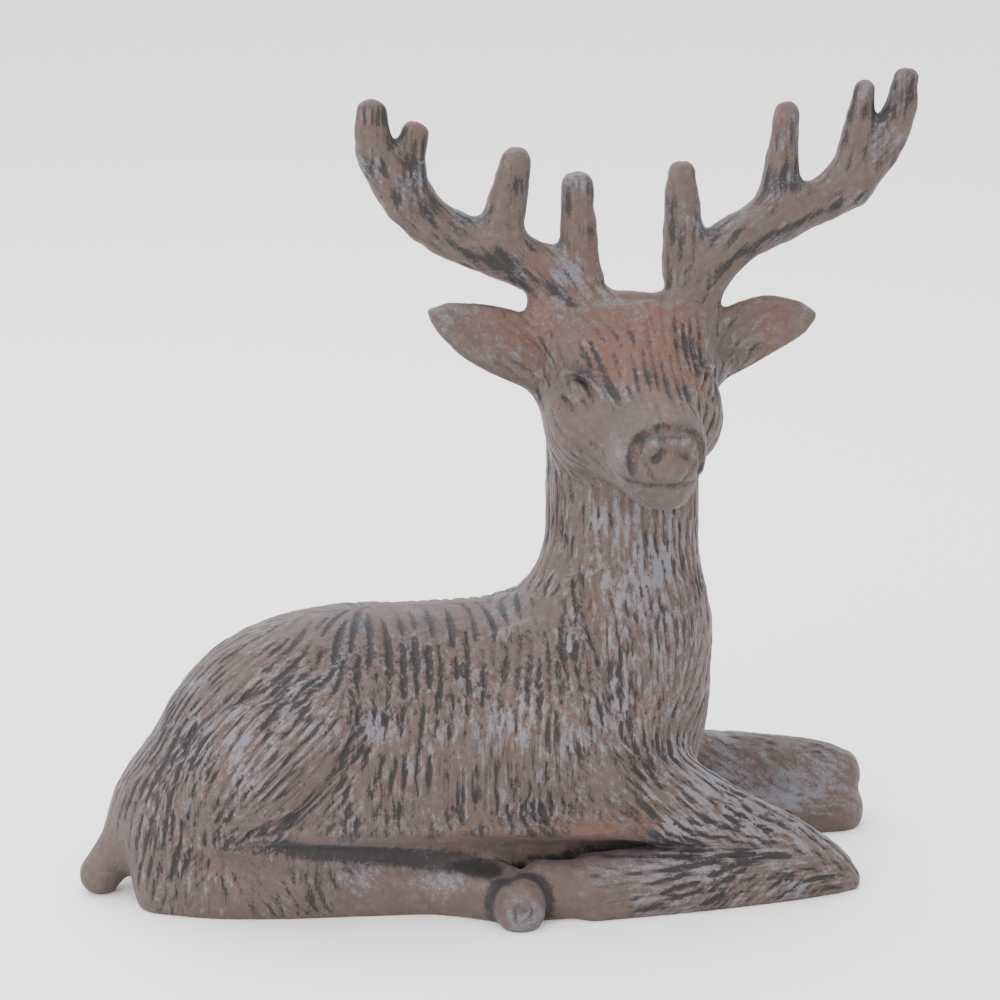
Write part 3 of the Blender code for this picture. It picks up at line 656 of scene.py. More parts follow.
# %% Guides for the coat
# Each row: place x, y, z; way of the hair x, y, z; depth of the cuts; parts between two strokes
GUIDES = np.array([
    (-30, -8, 87, 0.1, -0.9, -0.2, 0.3, 2.6), (-60, -8, 87, -0.4, -0.8, -0.3, 0.35, 2.6),
    (-30, -24, 84, -0.02, -0.5, -0.85, 1, 2.8), (-10, -24, 85, 0, -0.5, -0.85, 1, 2.8),
    (-48, -24, 83, -0.15, -0.5, -0.85, 1, 2.7),
    (5, -12, 90, 0.2, -0.8, -0.5, 0.4, 2.6), (-30, -34, 72, -0.05, 0, -1, 1, 2.8),
    (-10, -34, 74, 0.02, 0, -1, 1, 2.8), (-45, -34, 74, -0.08, 0, -1, 1, 2.8),
    (-30, -38, 60, -0.22, 0, -1, 0.9, 2.8), (-15, -38, 58, -0.2, 0, -1, 0.9, 2.8),
    (-30, -38, 42, -0.08, 0, -1, 1, 2.6), (-10, -38, 42, 0.0, 0, -1, 1, 2.6),
    (-95, -10, 66, -0.7, -0.1, -0.7, 0.6, 2.4), (-108, -12, 45, -0.35, -0.1, -0.93, 0.5, 2.4),
    (-80, -15, 78, -0.8, -0.2, -0.5, 0.6, 2.4), (-112, -8, 30, -0.2, 0, -1, 0.4, 2.6),
    (-96, -25, 50, -0.25, 0, -0.95, 1.1, 2.0), (-88, -32, 58, -0.45, 0, -0.85, 1.1, 2.0),
    (-97, -24, 32, -0.2, 0, -0.97, 1, 2.1), (-85, -33, 42, -0.5, 0, -0.87, 1.1, 2.0),
    (-70, -38, 52, -0.72, 0, -0.69, 1.1, 2.0), (-62, -38, 42, -0.75, 0, -0.62, 0.9, 2.1),
    (-75, -33, 30, -0.6, 0, -0.7, 0.6, 2.3), (-55, -38, 60, -0.55, 0, -0.8, 0.8, 2.1),
    (-60, -34, 72, -0.6, -0.1, -0.75, 0.9, 2.2), (-96, -22, 14, -0.3, 0, -0.95, 0.9, 2.2),
    (-75, -34, 10, 0.5, 0, -0.8, 0.55, 2.6), (-45, -34, 8, 0.6, 0, -0.8, 0.3, 2.8),
    (-20, -35, 8, 0.5, 0, -0.85, 0.2, 2.8), (-62, -38, 25, -0.3, 0, -1, 0.02, 2.6),
    (-45, -38, 24.5, -0.1, 0, -1, 0, 2.6), (-30, -38, 24, 0, 0, -1, 0, 2.6),
    (-15, -38, 24, 0, 0, -1, 0, 2.6), (-50, -38, 34, -0.3, 0, -1, 0.9, 2.6),
    (-30, -38, 34, -0.08, 0, -1, 1, 2.6), (-10, -38, 34, 0, 0, -1, 1, 2.6),
    (10, -38, 33, 0.1, 0, -1, 1, 2.4), (0, -38, 23.5, 0.2, 0, -1, 0, 2.6),
    (16, -38, 23, 0.3, 0, -1, 0, 2.6), (32, -37, 22.5, 0.5, 0, -0.9, 0.05, 2.6),
    (5, -36, 72, 0.05, 0, -1, 0.9, 2.4), (8, -38, 56, 0.05, 0, -1, 1, 2.3),
    (10, -38, 40, 0.15, 0, -1, 1.1, 2.3), (25, -37, 48, 0.3, 0, -0.95, 1, 2.3),
    (35, -35, 42, 0.55, 0, -0.84, 1, 2.2), (50, -33, 36, 0.8, 0, -0.6, 1, 2.2),
    (70, -33, 26, 0.86, 0, -0.5, 0.9, 2.2), (90, -30, 15, 0.75, 0, -0.65, 0.8, 2.3),
    (85, -34, 6, 0.85, 0, 0.5, 0.8, 2.4), (65, -38, 8, 0.88, 0, 0.46, 0.8, 2.3),
    (40, -43, 8, 0.96, 0, 0.26, 0.6, 2.4), (22, -42, 8, 0.9, 0, 0.3, 0.3, 2.6),
    (58, -20, 58, -0.6, -0.3, -0.74, 0.8, 2.4), (62, -8, 84, -0.4, 0, -0.92, 0.8, 2.3),
    (45, -28, 58, -0.35, -0.2, -0.9, 0.8, 2.3), (40, -28, 72, 0.1, 0, -1, 0.75, 2.2),
    (28, -22, 95, 0.25, 0, -0.97, 0.9, 2.2), (45, -22, 100, 0.02, 0, -1, 0.75, 2.2),
    (37, -20, 125, 0, 0, -1, 0.8, 2.2), (20, -8, 120, 0.05, 0, -1, 0.7, 2.3),
    (58, -4, 118, -0.05, 0, -1, 0.7, 2.3), (16, -10, 98, -0.3, 0, -0.95, 0.5, 2.4),
    (38, 24, 110, 0, 0, -1, 0.8, 2.4), (62, 12, 70, -0.3, 0.2, -0.9, 0.7, 2.4),
    (39, -20, 172, 0, -0.6, -0.8, 0.8, 1.9), (27, -14, 170, 0.4, -0.5, -0.75, 0.7, 2.1),
    (52, -14, 170, -0.15, -0.5, -0.85, 1, 1.9), (54, -20, 160, -0.1, -0.5, -0.85, 1, 1.9),
    (40, -27, 160, 0.02, -0.8, -0.6, 0.7, 2.0), (22, -16, 150, 0.75, -0.4, -0.5, 0.5, 2.2),
    (45, -33, 154, 0.05, -0.85, -0.6, 0.9, 1.9), (38, -34, 153, 0.05, -0.85, -0.6, 0.7, 2),
    (50, -32, 152, -0.1, -0.8, -0.6, 0.9, 1.9), (20, -12, 147, 0.7, -0.4, -0.6, 0.5, 2.2),
    (24, -24, 142, 0.5, -0.7, -0.5, 0.4, 2.2),
    (20, -8, 140, 0.8, -0.4, -0.45, 0.5, 2.2), (58, -16, 148, -0.5, -0.5, -0.7, 0.6, 2.2),
    (32, -36, 148, 0.3, -0.9, -0.3, 0.12, 2.6), (48, -40, 146, -0.3, -0.9, -0.3, 0.1, 2.6),
    (39, -44, 142, 0, -0.3, -0.95, 0.05, 2.8), (22, -20, 158, 0.45, -0.5, -0.75, 0.3, 1.9),
    (40, 0, 182, 0, -0.4, -0.9, 0.1, 2.6), (39, 16, 168, 0, 0.3, -0.9, 0.6, 2.4),
    (-10, 0, 175, 0.9, 0, -0.4, 0.12, 2.8), (90, 4, 172, -0.9, 0, -0.3, 0.12, 2.8),
    (-120, 0, 12, -0.4, 0, -0.9, 0.25, 2.6), (0, -47, 6, 0.1, -0.5, -0.8, 0.1, 2.8),
    (-12, -37, 7, 0.6, 0, -0.8, 0.2, 2.8), (8, -40, 7, 0.9, 0, -0.3, 0.1, 2.8),
])
OTHER_SIDE = GUIDES * np.array([1, -1, 1, 1, -1, 1, 0.9, 1])
OTHER_SIDE[(GUIDES[:, 0] > 45) & (GUIDES[:, 2] < 42), 6] *= 0.3     # the far foreleg is smoother
LIE_STEP = 4.0


def stem_guides(knots):
    """Guides down one stem of an antler: the differences between places along its curve."""
    rows = smooth_path(knots, 2)[:, :3]
    rest = np.tile([0.3, 3.2], (len(rows), 1))
    return np.hstack([rows, -np.gradient(rows, axis=0), rest])


STEMS = [stem_guides(knots) for knots in (LEFT_BEAM, RIGHT_BEAM, *LEFT_TINES, *RIGHT_TINES)]


def lie_of_coat():
    """Way, depth and spacing on a wide lattice: the guides' values, each weighted by one
    over the square of (its distance squared + 25), over the sum of the weights."""
    axes = [np.arange(LOW[i], HIGH[i] + LIE_STEP, LIE_STEP) for i in range(3)]
    grid = np.stack(np.meshgrid(*axes, indexing="ij"), -1)
    total, weights = 0, 0
    for row in np.vstack([GUIDES, OTHER_SIDE, *STEMS]):
        w = 1 / (((grid - row[:3]) ** 2).sum(-1) + 25) ** 2
        value = np.concatenate([row[3:6] / np.linalg.norm(row[3:6]), row[6:]])
        total, weights = total + w[..., None] * value, weights + w
    return (total / weights[..., None]).astype(np.float32)


LIE = lie_of_coat()
print(2 * len(GUIDES), "guides for the hair and", sum(len(rows) for rows in STEMS),
      "for the antlers")

# %% [markdown]
# ## Laying the strokes
#
# A carver's strokes are alike but never equal. They run side by side at an even distance, and
# none starts inside another. So many paths are walked along the hair at once, each hop drawn
# back to the skin, and they are then taken one after the other: a path keeps its longest run
# that is free, if that is long enough, and it marks the places round it as taken.

# %% Paths of the strokes
HOP, HOPS, SEEDS = 1.6, 13, 70000
LEAST_DEPTH, LEAST_PLACES = 0.14, 6         # shallower coat stays smooth, shorter runs are dropped
CELL, RIM, BALL = 0.8, 5, 4                 # taken places: cell size, cells round them, reach
SPACING_STEP = 0.2
GRAIN = np.random.default_rng(11).uniform(-1, 1, (64, 64, 64)).astype(np.float32)


def grain(p, size, shift=0.0):
    """Smooth noise between -1 and 1 that changes over `size` parts: random values on a
    lattice, eased between its points by 3t^2 - 2t^3."""
    at = p / size + shift
    corner = np.floor(at).astype(np.int32)
    t = (at - corner).astype(np.float32)
    t = t * t * (3 - 2 * t)
    total = np.zeros(len(p), np.float32)
    for i in (0, 1):
        for j in (0, 1):
            for k in (0, 1):
                share = (t[:, 0] if i else 1 - t[:, 0]) * (t[:, 1] if j else 1 - t[:, 1])
                total += share * (t[:, 2] if k else 1 - t[:, 2]) * GRAIN[
                    (corner[:, 0] + i) & 63, (corner[:, 1] + j) & 63, (corner[:, 2] + k) & 63]
    return total


def walks(starts, hops, hop):
    """Paths along the hair through each start, hops to each side: every hop goes `hop` parts
    along the lie of the coat, laid flat on the skin and swayed by noise, then back by its depth."""
    halves = []
    for sense in (1, -1):
        q, half = starts, []
        for _ in range(hops):
            way, _ = outward(q)
            lie = read(LIE, q, LOW, LIE_STEP)[:, :3]
            lie = lie + np.cross(way, lie) * (0.14 * grain(q, 9, 3.3))[:, None]
            lie -= way * (lie * way).sum(1)[:, None]
            lie /= np.maximum(np.linalg.norm(lie, axis=1), 1e-6)[:, None]
            q = onto_skin(q + lie * (sense * hop), 1)
            half.append(q)
        halves.append(half)
    return np.stack(halves[1][::-1] + [starts] + halves[0], 1)


def laid(starts, hops, hop):
    """The free runs of the walks, one after the other. A run is free where no earlier stroke
    lies within the coat's spacing, and one of least places or more is kept. Lengths vary."""
    paths = walks(starts, hops, hop)
    apart = np.round(read(LIE, starts, LOW, LIE_STEP)[:, 4] / SPACING_STEP).astype(int)
    taken = np.zeros(np.ceil((HIGH - LOW) / CELL).astype(int) + 2 * RIM, bool)
    cube = np.argwhere(np.ones((2 * BALL + 1,) * 3, bool)) - BALL
    squares = (cube ** 2).sum(1) * round(CELL ** 2, 2)
    balls = {n: cube[squares <= (SPACING_STEP * n) ** 2] for n in np.unique(apart)}
    cells = np.round((paths - LOW) / CELL).astype(int) + RIM
    ends = np.random.default_rng(6).integers(max(3, hops - 5), hops + 1, (len(starts), 2))
    kept = []
    for path, cell, n, (back, fore) in zip(paths, cells, apart, ends):
        free = ~taken[cell[:, 0], cell[:, 1], cell[:, 2]]
        if not free[hops]:
            continue
        blocked = np.flatnonzero(~free)
        first = max(blocked[blocked < hops].max(initial=-1) + 1, hops - back)
        last = min(blocked[blocked > hops].min(initial=len(path)), hops + fore + 1)
        if last - first >= LEAST_PLACES:
            kept.append(path[first:last])
            mark = (cell[first:last, None] + balls[n]).reshape(-1, 3)
            taken[mark[:, 0], mark[:, 1], mark[:, 2]] = True
    return kept


order = np.random.default_rng(4).permutation(len(places))[:SEEDS]
starts = places[order]
starts = starts[(read(LIE, starts, LOW, LIE_STEP)[:, 3] > LEAST_DEPTH) & (starts[:, 2] > 1.5)]
paths = laid(starts.astype(np.float32), HOPS, HOP)
print(len(paths), "strokes, on average",
      round(HOP * np.mean([len(p) - 1 for p in paths]), 1), "parts long")

# %% [markdown]
# ## The cut of a stroke
#
# Each stroke is a small gouge cut: narrow, widest in the middle of its length and running
# out to a point at both ends. One number says how near a place is to a stroke. The middle half
# of that range is the cut itself, and the paint needs the outer half too, for its edges.

# %% Cuts at any place
def nearness(p, paths, width=2.0):
    """How near each place is to a stroke, 0 to 1: 1 - d / (w x taper), with d the distance to
    its path, w the width and taper = 0.4 + 0.6 (1 - (2 t - 1)^2), t the share of its length.
    The greatest over all strokes counts."""
    order = np.argsort(p[:, 0])
    along_x = p[order, 0]
    best = np.zeros(len(p))
    sizes = np.random.default_rng(9).uniform(0.75, 1.15, len(paths))
    for path, size in zip(paths, sizes):
        w = width * size
        low, high = path.min(0) - w, path.max(0) + w
        near = order[slice(*np.searchsorted(along_x, (low[0], high[0])))]
        near = near[((p[near] > low) & (p[near] < high)).all(1)]
        if not len(near):
            continue
        a, b = path[:-1], path[1:]
        axis = b - a
        t = ((p[near, None] - a) * axis).sum(-1) / (axis ** 2).sum(-1)
        t = np.clip(t, 0, 1)
        d = np.linalg.norm(p[near, None] - a - axis * t[..., None], axis=-1)
        nearest = d.argmin(1)
        rows = np.arange(len(near))
        share = (nearest + t[rows, nearest]) / len(a)
        taper = 0.4 + 0.6 * (1 - (2 * share - 1) ** 2)
        best[near] = np.maximum(best[near], 1 - d[rows, nearest] / (w * taper))
    return best


def gouge(near):
    """Depth of the cut, 0 to 1, where nearness passes a half: 3 t^2 - 2 t^3, t = 2 near - 1."""
    t = np.clip(2 * near - 1, 0, 1)
    return t * t * (3 - 2 * t)


def local_depth(p):
    """How deeply the coat is cut round a place, from the guides, faded out at the floor."""
    return read(LIE, p, LOW, LIE_STEP)[:, 3] * np.clip((p[:, 2] - 0.5) / 2, 0, 1)


cut, local = gouge(nearness(places, paths)), local_depth(places)
print("share of the skin that is cut", round(float((cut > 0.2).mean()), 2))

# %% [markdown]
# ## Carving and thinning
#
# Every place moves inwards by its cut, at most a little under a millimetre, and a shallow
# unrest keeps the iron between the cuts from looking pressed; the antlers are gnarled. The
# mesh is then thinned to under 200,000 triangles, which keeps faces where the form turns
# sharply, so the cuts stay crisp.

# %% The carved stag
CUT_DEPTH = 0.85
FACETS = 198000
HORN_FROM, HORN_FULL = 184, 190             # heights over which the antlers' skin takes over


def horn_share(p):
    return np.clip((p[:, 2] - HORN_FROM) / (HORN_FULL - HORN_FROM), 0, 1)


def carved():
    """The skin's places, each moved in by depth x cut, as one thinned mesh in metres."""
    way, _ = outward(places)
    unrest = 0.16 * grain(places, 3.4, 1.7) + 0.1 * grain(places, 1.9, 8.1)
    gnarls = 0.35 * grain(places, 4.2, 4.4) * horn_share(places)
    inward = CUT_DEPTH * cut * local + (unrest + gnarls) * np.clip(places[:, 2] / 2 - 0.5, 0, 1)
    mesh = bpy.data.meshes.new("stag_skin")
    mesh.from_pydata(((places - way * inward[:, None]) * PART).tolist(), [], quads.tolist())
    rough = bpy.data.objects.new("stag_skin", mesh)
    bpy.context.scene.collection.objects.link(rough)
    thin = rough.modifiers.new("thin", "DECIMATE")
    thin.ratio = min(1.0, FACETS / (2 * len(quads)))
    thinned = bpy.data.meshes.new_from_object(
        rough.evaluated_get(bpy.context.evaluated_depsgraph_get()))
    bpy.data.objects.remove(rough, do_unlink=True)
    return thinned


stag_mesh = carved()
at = np.zeros(3 * len(stag_mesh.vertices), np.float32)
stag_mesh.vertices.foreach_get("co", at)
at = at.reshape(-1, 3) / PART
print(len(stag_mesh.polygons), "faces after thinning")

# %% [markdown]
# ## Where the paint lies
#
# The finish is three layers. Rust brown covers all. Black lies in the cuts, the folds and the
# gaps between the legs: dark paint, with painted shade where the iron keeps the light out. A
# grey sheen lies on ridges and on what faces up: wear on the ridges, with a painted highlight
# on both. Shape alone gives most of it, and named spots add places that are darker, by paint
# and by painted shade, places with more wear and painted highlight, and places with warmer
# brown. Lines drawn along paths add more black, dark paint with painted shade: under the belly,
# where it is the painted shadow of the undercut, round the hoof, behind the shoulder, along the
# antlers' undersides and in the face, where each is drawn for both halves at once.

# %% Spots of dark paint and painted shade, of wear and painted highlight, and of warmer brown
# Spots: place x, y, z, radius, and how much black (dark paint and painted shade), sheen (wear
# and painted highlight) or warmth is added there. One on the near side below the head has its
# like on the far side. Lines: radius, amount, the path
# Darker paint, and painted shade in the creases and hollows and on the shaded rump and far foreleg
DARK_AND_SHADE_SPOTS = [
    (-42, -24, 86, 9, 0.4), (-28, -24, 87, 8, 0.4), (-12, -25, 87, 8, 0.4),
    (-30, -10, 89, 14, 0.35), (-56, -10, 87, 14, 0.35),
    (-5, -10, 89, 13, 0.35), (80, 22, 24, 14, 0.3), (-51, -28, 85, 9, 0.4), (-59, -32, 78, 9, 0.4),
    (-25, -36, 74, 9, 0.45), (-97, -25, 49, 9, 0.35), (-96, -24, 34, 9, 0.35), (-74, -32, 68, 10, 0.4),
    (-23, -38, 49, 6, 0.3), (-36, -38, 39, 10, 0.3), (-6, -38, 72, 6, 0.5), (14, -30, 80, 9, 0.5),
    (5, -38, 36, 12, 0.3), (32, -33, 67, 5, 0.35), (37, -38, 51, 6, 0.45), (40, -14, 178, 9, 0.24),
    (30, -16, 168, 7, 0.24), (52, -18, 172, 9, 0.22), (40, -26, 160, 7, 0.22), (24, -22, 165, 5, 0.5),
    (0.5, -54, 7, 3, 0.5), (5, 2, 196, 8, 0.3), (-22, 2, 206, 9, 0.35), (15, 0, 187, 6, 0.4),
    (72, 6, 197, 8, 0.3), (56, 3, 192, 8, 0.3), (88, 8, 216, 8, 0.25), (112, 9, 222, 9, 0.3),
    (-38, -3, 240, 5, 0.35), (-29, -1, 229, 6, 0.5), (-27, -2, 218, 5, 0.4), (8, -1, 218, 5, 0.35),
    (19.5, 0, 208, 4, 0.5), (122, 8, 243, 5, 0.3), (110, 6, 236, 5, 0.35), (52, 2, 210, 4, 0.4),
    (-108, -6, 50, 20, 0.4), (-100, 0, 66, 16, 0.35), (-35, -33, 76, 22, 0.25), (55, -41, 11, 13, 0.7),
    (88, -34, 5, 9, 0.3), (-60, -34, 10, 14, 0.4), (-104, -20, 24, 15, 0.35),
]
HOOF_TURNS = np.linspace(-0.4, 3.6, 9)
# Dark paint with painted shade: the first line is the painted shadow of the undercut under the belly,
# then round the hoof, over the fore cannon and along the folds before the haunch, behind the shoulder
# and at the mane's edge
DARK_AND_SHADE_LINES = [
    (3.0, 1.0, [(-70, -34.5, 25), (-52, -33.2, 21.3), (-34.4, -31.9, 18.4), (-19.2, -32.6, 16.1),
                (-7.6, -38.4, 14.7)]),
    (2.6, 0.8, np.column_stack([0.5 + 8.8 * np.cos(HOOF_TURNS), np.full(9, -44.0),
                                6.5 + 9.4 * np.sin(HOOF_TURNS)])),
    (2.0, 0.6, [(-1.5, -53.6, 7), (2.5, -53.6, 7)]),
    (1.3, 0.65, [(15, -29, 16), (26, -37.4, 17.4), (50, -39.6, 16.9), (74, -37.6, 15.4),
                 (84, -36.7, 15.8)]),
    (1.1, 0.7, [(-46, -36, 66), (-47.6, -37.8, 59.3), (-50.6, -38, 53), (-54.5, -38, 44.8),
                (-61.6, -37.6, 37), (-70.1, -37, 32)]),
    (1.6, 0.6, [(-4.6, -34, 72), (-5, -37, 62), (-4.8, -38, 49), (-4, -37.6, 38)]),
    (1.4, 0.35, [(18, -12, 110), (21, -21, 97), (25, -28, 85), (28, -32, 74), (29.7, -35, 64.7),
                (30.6, -37.6, 54), (36, -37.6, 46)]),
]
# Dark paint with painted shade in the face's cuts: nose ring, nostrils, lip, mouth, lids and the groove
# over the brow
FACE_DARK_AND_SHADE_LINES = [
    (3.0, 0.34, [(12, 44, -13), (11.4, 45, -7), (8.6, 45.4, -2.4), (4, 45.6, 0.2), (0, 45.8, 0.6)]),
    (1.2, 0.55, [(9.4, 46.4, -7.4), (7.6, 47.2, -3.6), (3.6, 47.8, -2.4), (0, 48, -2.2)]),
    (1.3, 0.45, [(1.8, 49.7, -6.0), (3.2, 49.8, -7.5), (5.2, 49, -8.6)]),
    (0.9, 0.2, [(7.8, 47.6, -9.8), (5.9, 48.7, -13.2), (3.8, 48.5, -16.2)]),
    (1.0, 0.4, [(0, 48.2, -17.6), (5, 47.4, -17.6), (9, 44.8, -17.7), (12, 40, -17.4),
                (13.4, 35, -16.5)]),
    (1.0, 0.45, [(24, 9.5, 0.6), (22.4, 12.8, 3.6), (19.4, 16.6, 3.6), (17.4, 19.2, 1.2)]),
    (0.8, 0.45, [(23.4, 11, -1.6), (20.8, 14.4, -2.2), (18.2, 18, -1.2)]),
    (2.2, 0.4, [(21.5, 10, 9.2), (18, 16, 8.6), (14.5, 21.5, 6.6), (11, 26.5, 4.2)]),
]
# Painted highlights with wear on the face: beside the nose ring, along the brow ridge and over the
# nostrils
FACE_HIGHLIGHT_AND_WEAR_LINES = [
    (1.5, 0.45, [(15, 42, -15), (15, 42.5, -9), (12.5, 43.5, -2)]),
    (1.2, 0.4, [(23, 12, 7), (18.6, 18.5, 6), (14.5, 25, 3.4)]),
    (1.6, 0.25, [(6.4, 47.5, -3.6), (3.2, 48.3, -3.4)]),
]
# Wear with painted highlight, on the bulges of haunch, shoulder and legs, on hoof, neck and head
WEAR_AND_HIGHLIGHT_SPOTS = [
    (0, -53, 7, 6, 0.5),
    (-84, -33, 62, 9, 0.4), (-79, -36, 52, 10, 0.45), (-56, -38, 65, 8, 0.5), (-41, -37, 62, 9, 0.35),
    (-12, -38, 60, 7, 0.35), (-112, -15, 45, 14, 0.08), (1, -38, 58, 11, 0.5), (29, -34, 63, 8, 0.4),
    (19, -38, 53, 7, 0.3), (57, -30, 37, 13, 0.5), (41, -40, 17, 11, 0.45), (-49, -34, 18, 11, 0.3),
    (-20, -34, 17, 10, 0.3), (95, 24, 7, 16, 0.4), (75, 24, 6, 12, 0.3), (70, 20, 28, 9, 0.2),
    (28, -45, 145, 5, 0.35), (22, 0, 183, 9, 0.4), (38, -20, 118, 17, 0.38),
    (40, -24, 95, 15, 0.38), (44, -29, 73, 12, 0.4), (80, -33, 22, 14, 0.35),
    (104, -32, 16, 10, 0.3), (55, -8, 104, 12, 0.25),
    (40, -8, 183, 8, 0.45), (62, -8, 160, 6, 0.3), (52, -41, 13, 11, 0.25),
]
# Dark paint and painted shade along the underside of each antler's beam
HORN_DARK_AND_SHADE_LINES = [(1.1, 0.6, [(x, y - 0.9 * r, z - 0.4 * r) for x, y, z, r in beam[1:5]])
              for beam in (LEFT_BEAM, RIGHT_BEAM)]
WARM_SPOTS = [(0, -4, 172, 14, 0.42), (84, 2, 174, 14, 0.42)]
print(len(DARK_AND_SHADE_SPOTS), "dark,", len(WEAR_AND_HIGHLIGHT_SPOTS), "rubbed and", len(WARM_SPOTS), "warm spots")

# %% [markdown]
# ## Paint from the shape
#
# A place a little way out of the skin tells a gap: where iron is near it too, the gap gets
# painted shade. A place a little way in tells a ridge: where the skin is near it too, the iron
# is thin there and stands out, and it gets wear with a painted highlight. The nearness to a
# stroke gives its black line and, just beside that, a painted highlight on its edge.

# %% Paint as numbers on the mesh
GAP_REACH, RIDGE_REACH = 1.6, 3.0           # how far out a gap is felt, how far in a ridge
SHIFT = np.array([*((places.min(0) + places.max(0)) / 2)[:2], 0.0])


def spots(p, rows):
    """The sum over rows of amount x exp(-(distance / radius)^2). A row on the near side of
    the body counts for the far side too."""
    total = np.zeros(len(p))
    for x, y, z, radius, amount in rows:
        for side in ((1, -1) if y < -20 and z < 90 else (1,)):
            total += amount * np.exp(-((p - (x, side * y, z)) ** 2).sum(1) / radius ** 2)
    return total


def along_lines(p, drawn_lines):
    """The greatest over the lines of amount x exp(-(d / radius)^2), d from each path."""
    best = np.zeros(len(p))
    for radius, amount, knots in drawn_lines:
        rows = smooth_path(knots, 4)
        near = np.flatnonzero(((p > rows.min(0) - 3 * radius) & (p < rows.max(0) + 3 * radius)).all(1))
        for a, b in zip(rows, rows[1:]):
            t = np.clip((p[near] - a) @ (b - a) / ((b - a) ** 2).sum(), 0, 1)
            d = np.linalg.norm(p[near] - a - t[:, None] * (b - a), axis=1)
            best[near] = np.maximum(best[near], amount * np.exp(-(d / radius) ** 2))
    return best


def bare_reach(p, way, reach):
    """Depth of the places that lie `reach` parts along the way out."""
    moved = (p + way * reach).astype(np.float32)
    return np.concatenate([bare_stag(block) for block in np.array_split(moved, 24)])


def hair_shares(p, way):
    """How much the hair runs upright, along the ground, leaning forward and leaning back, from
    the cosine and sine of twice its angle in the side view, times how deeply it is cut."""
    lie = read(LIE, p, LOW, LIE_STEP)
    flat = lie[:, :3] - way * (lie[:, :3] * way).sum(1)[:, None]
    flat /= np.maximum(np.linalg.norm(flat, axis=1), 1e-6)[:, None]
    cosine, sine = flat[:, 2] ** 2 - flat[:, 0] ** 2, 2 * flat[:, 0] * flat[:, 2]
    four = np.clip(np.column_stack([cosine, -cosine, sine, -sine]), 0, 1)
    return four * np.clip(lie[:, 3] * 1.3, 0.1, 1)[:, None]


def layers(p):
    """Black, sheen and warmth of the colour at each place, each 0 to 1, and the hair's shares.
    Black is the sum of the strokes' lines, painted shade in the gaps, the dark and shaded spots,
    the dark and shaded lines and noise. Sheen is the sum of a painted highlight on what faces up
    and on the strokes' edges, wear with painted highlight on the ridges, at the rubbed spots and
    on the face's lines, and noise, times what the lines, gaps and dark lines leave of it, and it
    is weaker on warm brown. Warmth is the brow, the ears and the band under the belly, with
    noise. Noise decides more on the antlers."""
    on_skin = onto_skin(p)
    way, _ = outward(on_skin)
    near, deep = nearness(on_skin, paths), np.clip(local_depth(on_skin) * 1.6, 0, 1)
    line = np.clip((near - 0.3) / 0.4, 0, 1) * deep
    # Just beside a stroke's line: a painted highlight on its edge
    edge = np.clip(1 - np.abs(near - 0.2) / 0.2, 0, 1) * deep
    cloud = 0.6 * grain(p, 11, 5.1) + 0.4 * grain(p, 5, 9.7)
    patch = grain(p, 7, 1.3) + 0.5 * grain(p, 3.1, 6.6)
    # Painted shade in gaps, where iron lies near on both sides
    gap = np.clip((GAP_REACH - bare_reach(on_skin, way, GAP_REACH)) / GAP_REACH, 0, 1)
    # Ridges: wear with a painted highlight where the iron stands out
    ridge = np.clip((RIDGE_REACH + bare_reach(on_skin, way, -RIDGE_REACH)) / RIDGE_REACH, 0, 1)
    horn = horn_share(p)
    # Black: the strokes' dark lines, painted shade in the gaps, dark paint with painted shade at the
    # spots
    black = line * (0.27 + 0.3 * patch) + 0.6 * gap + spots(p, DARK_AND_SHADE_SPOTS) * (0.42 + 0.75 * line)
    # Dark paint and painted shade along the lines
    drawn_lines = np.maximum(along_lines(p, DARK_AND_SHADE_LINES + HORN_DARK_AND_SHADE_LINES), along_lines(in_head(p)[1], FACE_DARK_AND_SHADE_LINES))
    black += drawn_lines + 0.12 * cloud + 0.1 * patch + horn * (0.1 + 0.22 * np.clip(patch + 0.2, 0, 1))
    # Sheen: a painted highlight on what faces up and beside the strokes, wear with painted highlight on
    # the ridges and at the rubbed spots
    wear_and_sheen = 0.14 * np.clip(way[:, 2], 0, 1) + 0.45 * ridge + spots(p, WEAR_AND_HIGHLIGHT_SPOTS) + 0.17 * edge
    # Painted highlights with wear on the face
    wear_and_sheen += along_lines(in_head(p)[1], FACE_HIGHLIGHT_AND_WEAR_LINES)
    # Wear with painted highlight on the antlers, in patches
    wear_and_sheen += horn * (0.06 + 0.6 * np.clip(cloud, -0.2, 0.6))
    wear_and_sheen = (wear_and_sheen + 0.2 * patch - 0.12 * cloud) * (1 - 0.8 * line) * (1 - gap) * (1 - drawn_lines)
    belly = np.exp(-((p[:, 2] - 25) / 4) ** 2) * (p[:, 0] < 45) * (p[:, 0] > -75)
    warm = np.exp(-((p - (40, -18, 170)) ** 2).sum(1) / 20 ** 2) + 0.38 * belly
    warm = warm + 0.35 * grain(p, 16, 2.2) + spots(p, WARM_SPOTS)
    wear_and_sheen *= 1 - 0.45 * np.clip(warm, 0, 1)
    return np.clip(np.column_stack([black, wear_and_sheen, warm]), 0, 1), hair_shares(on_skin, way)


paint_shade_and_sheen, hair = layers(at)
print("mean black, sheen and warmth", np.round(paint_shade_and_sheen.mean(0), 3))

# %% [markdown]
# ## The piece
#
# The mesh goes to the imported frame's place, smooth shaded, with its paint, painted shade and
# painted highlight and the hair's shares as two attributes that the material reads.

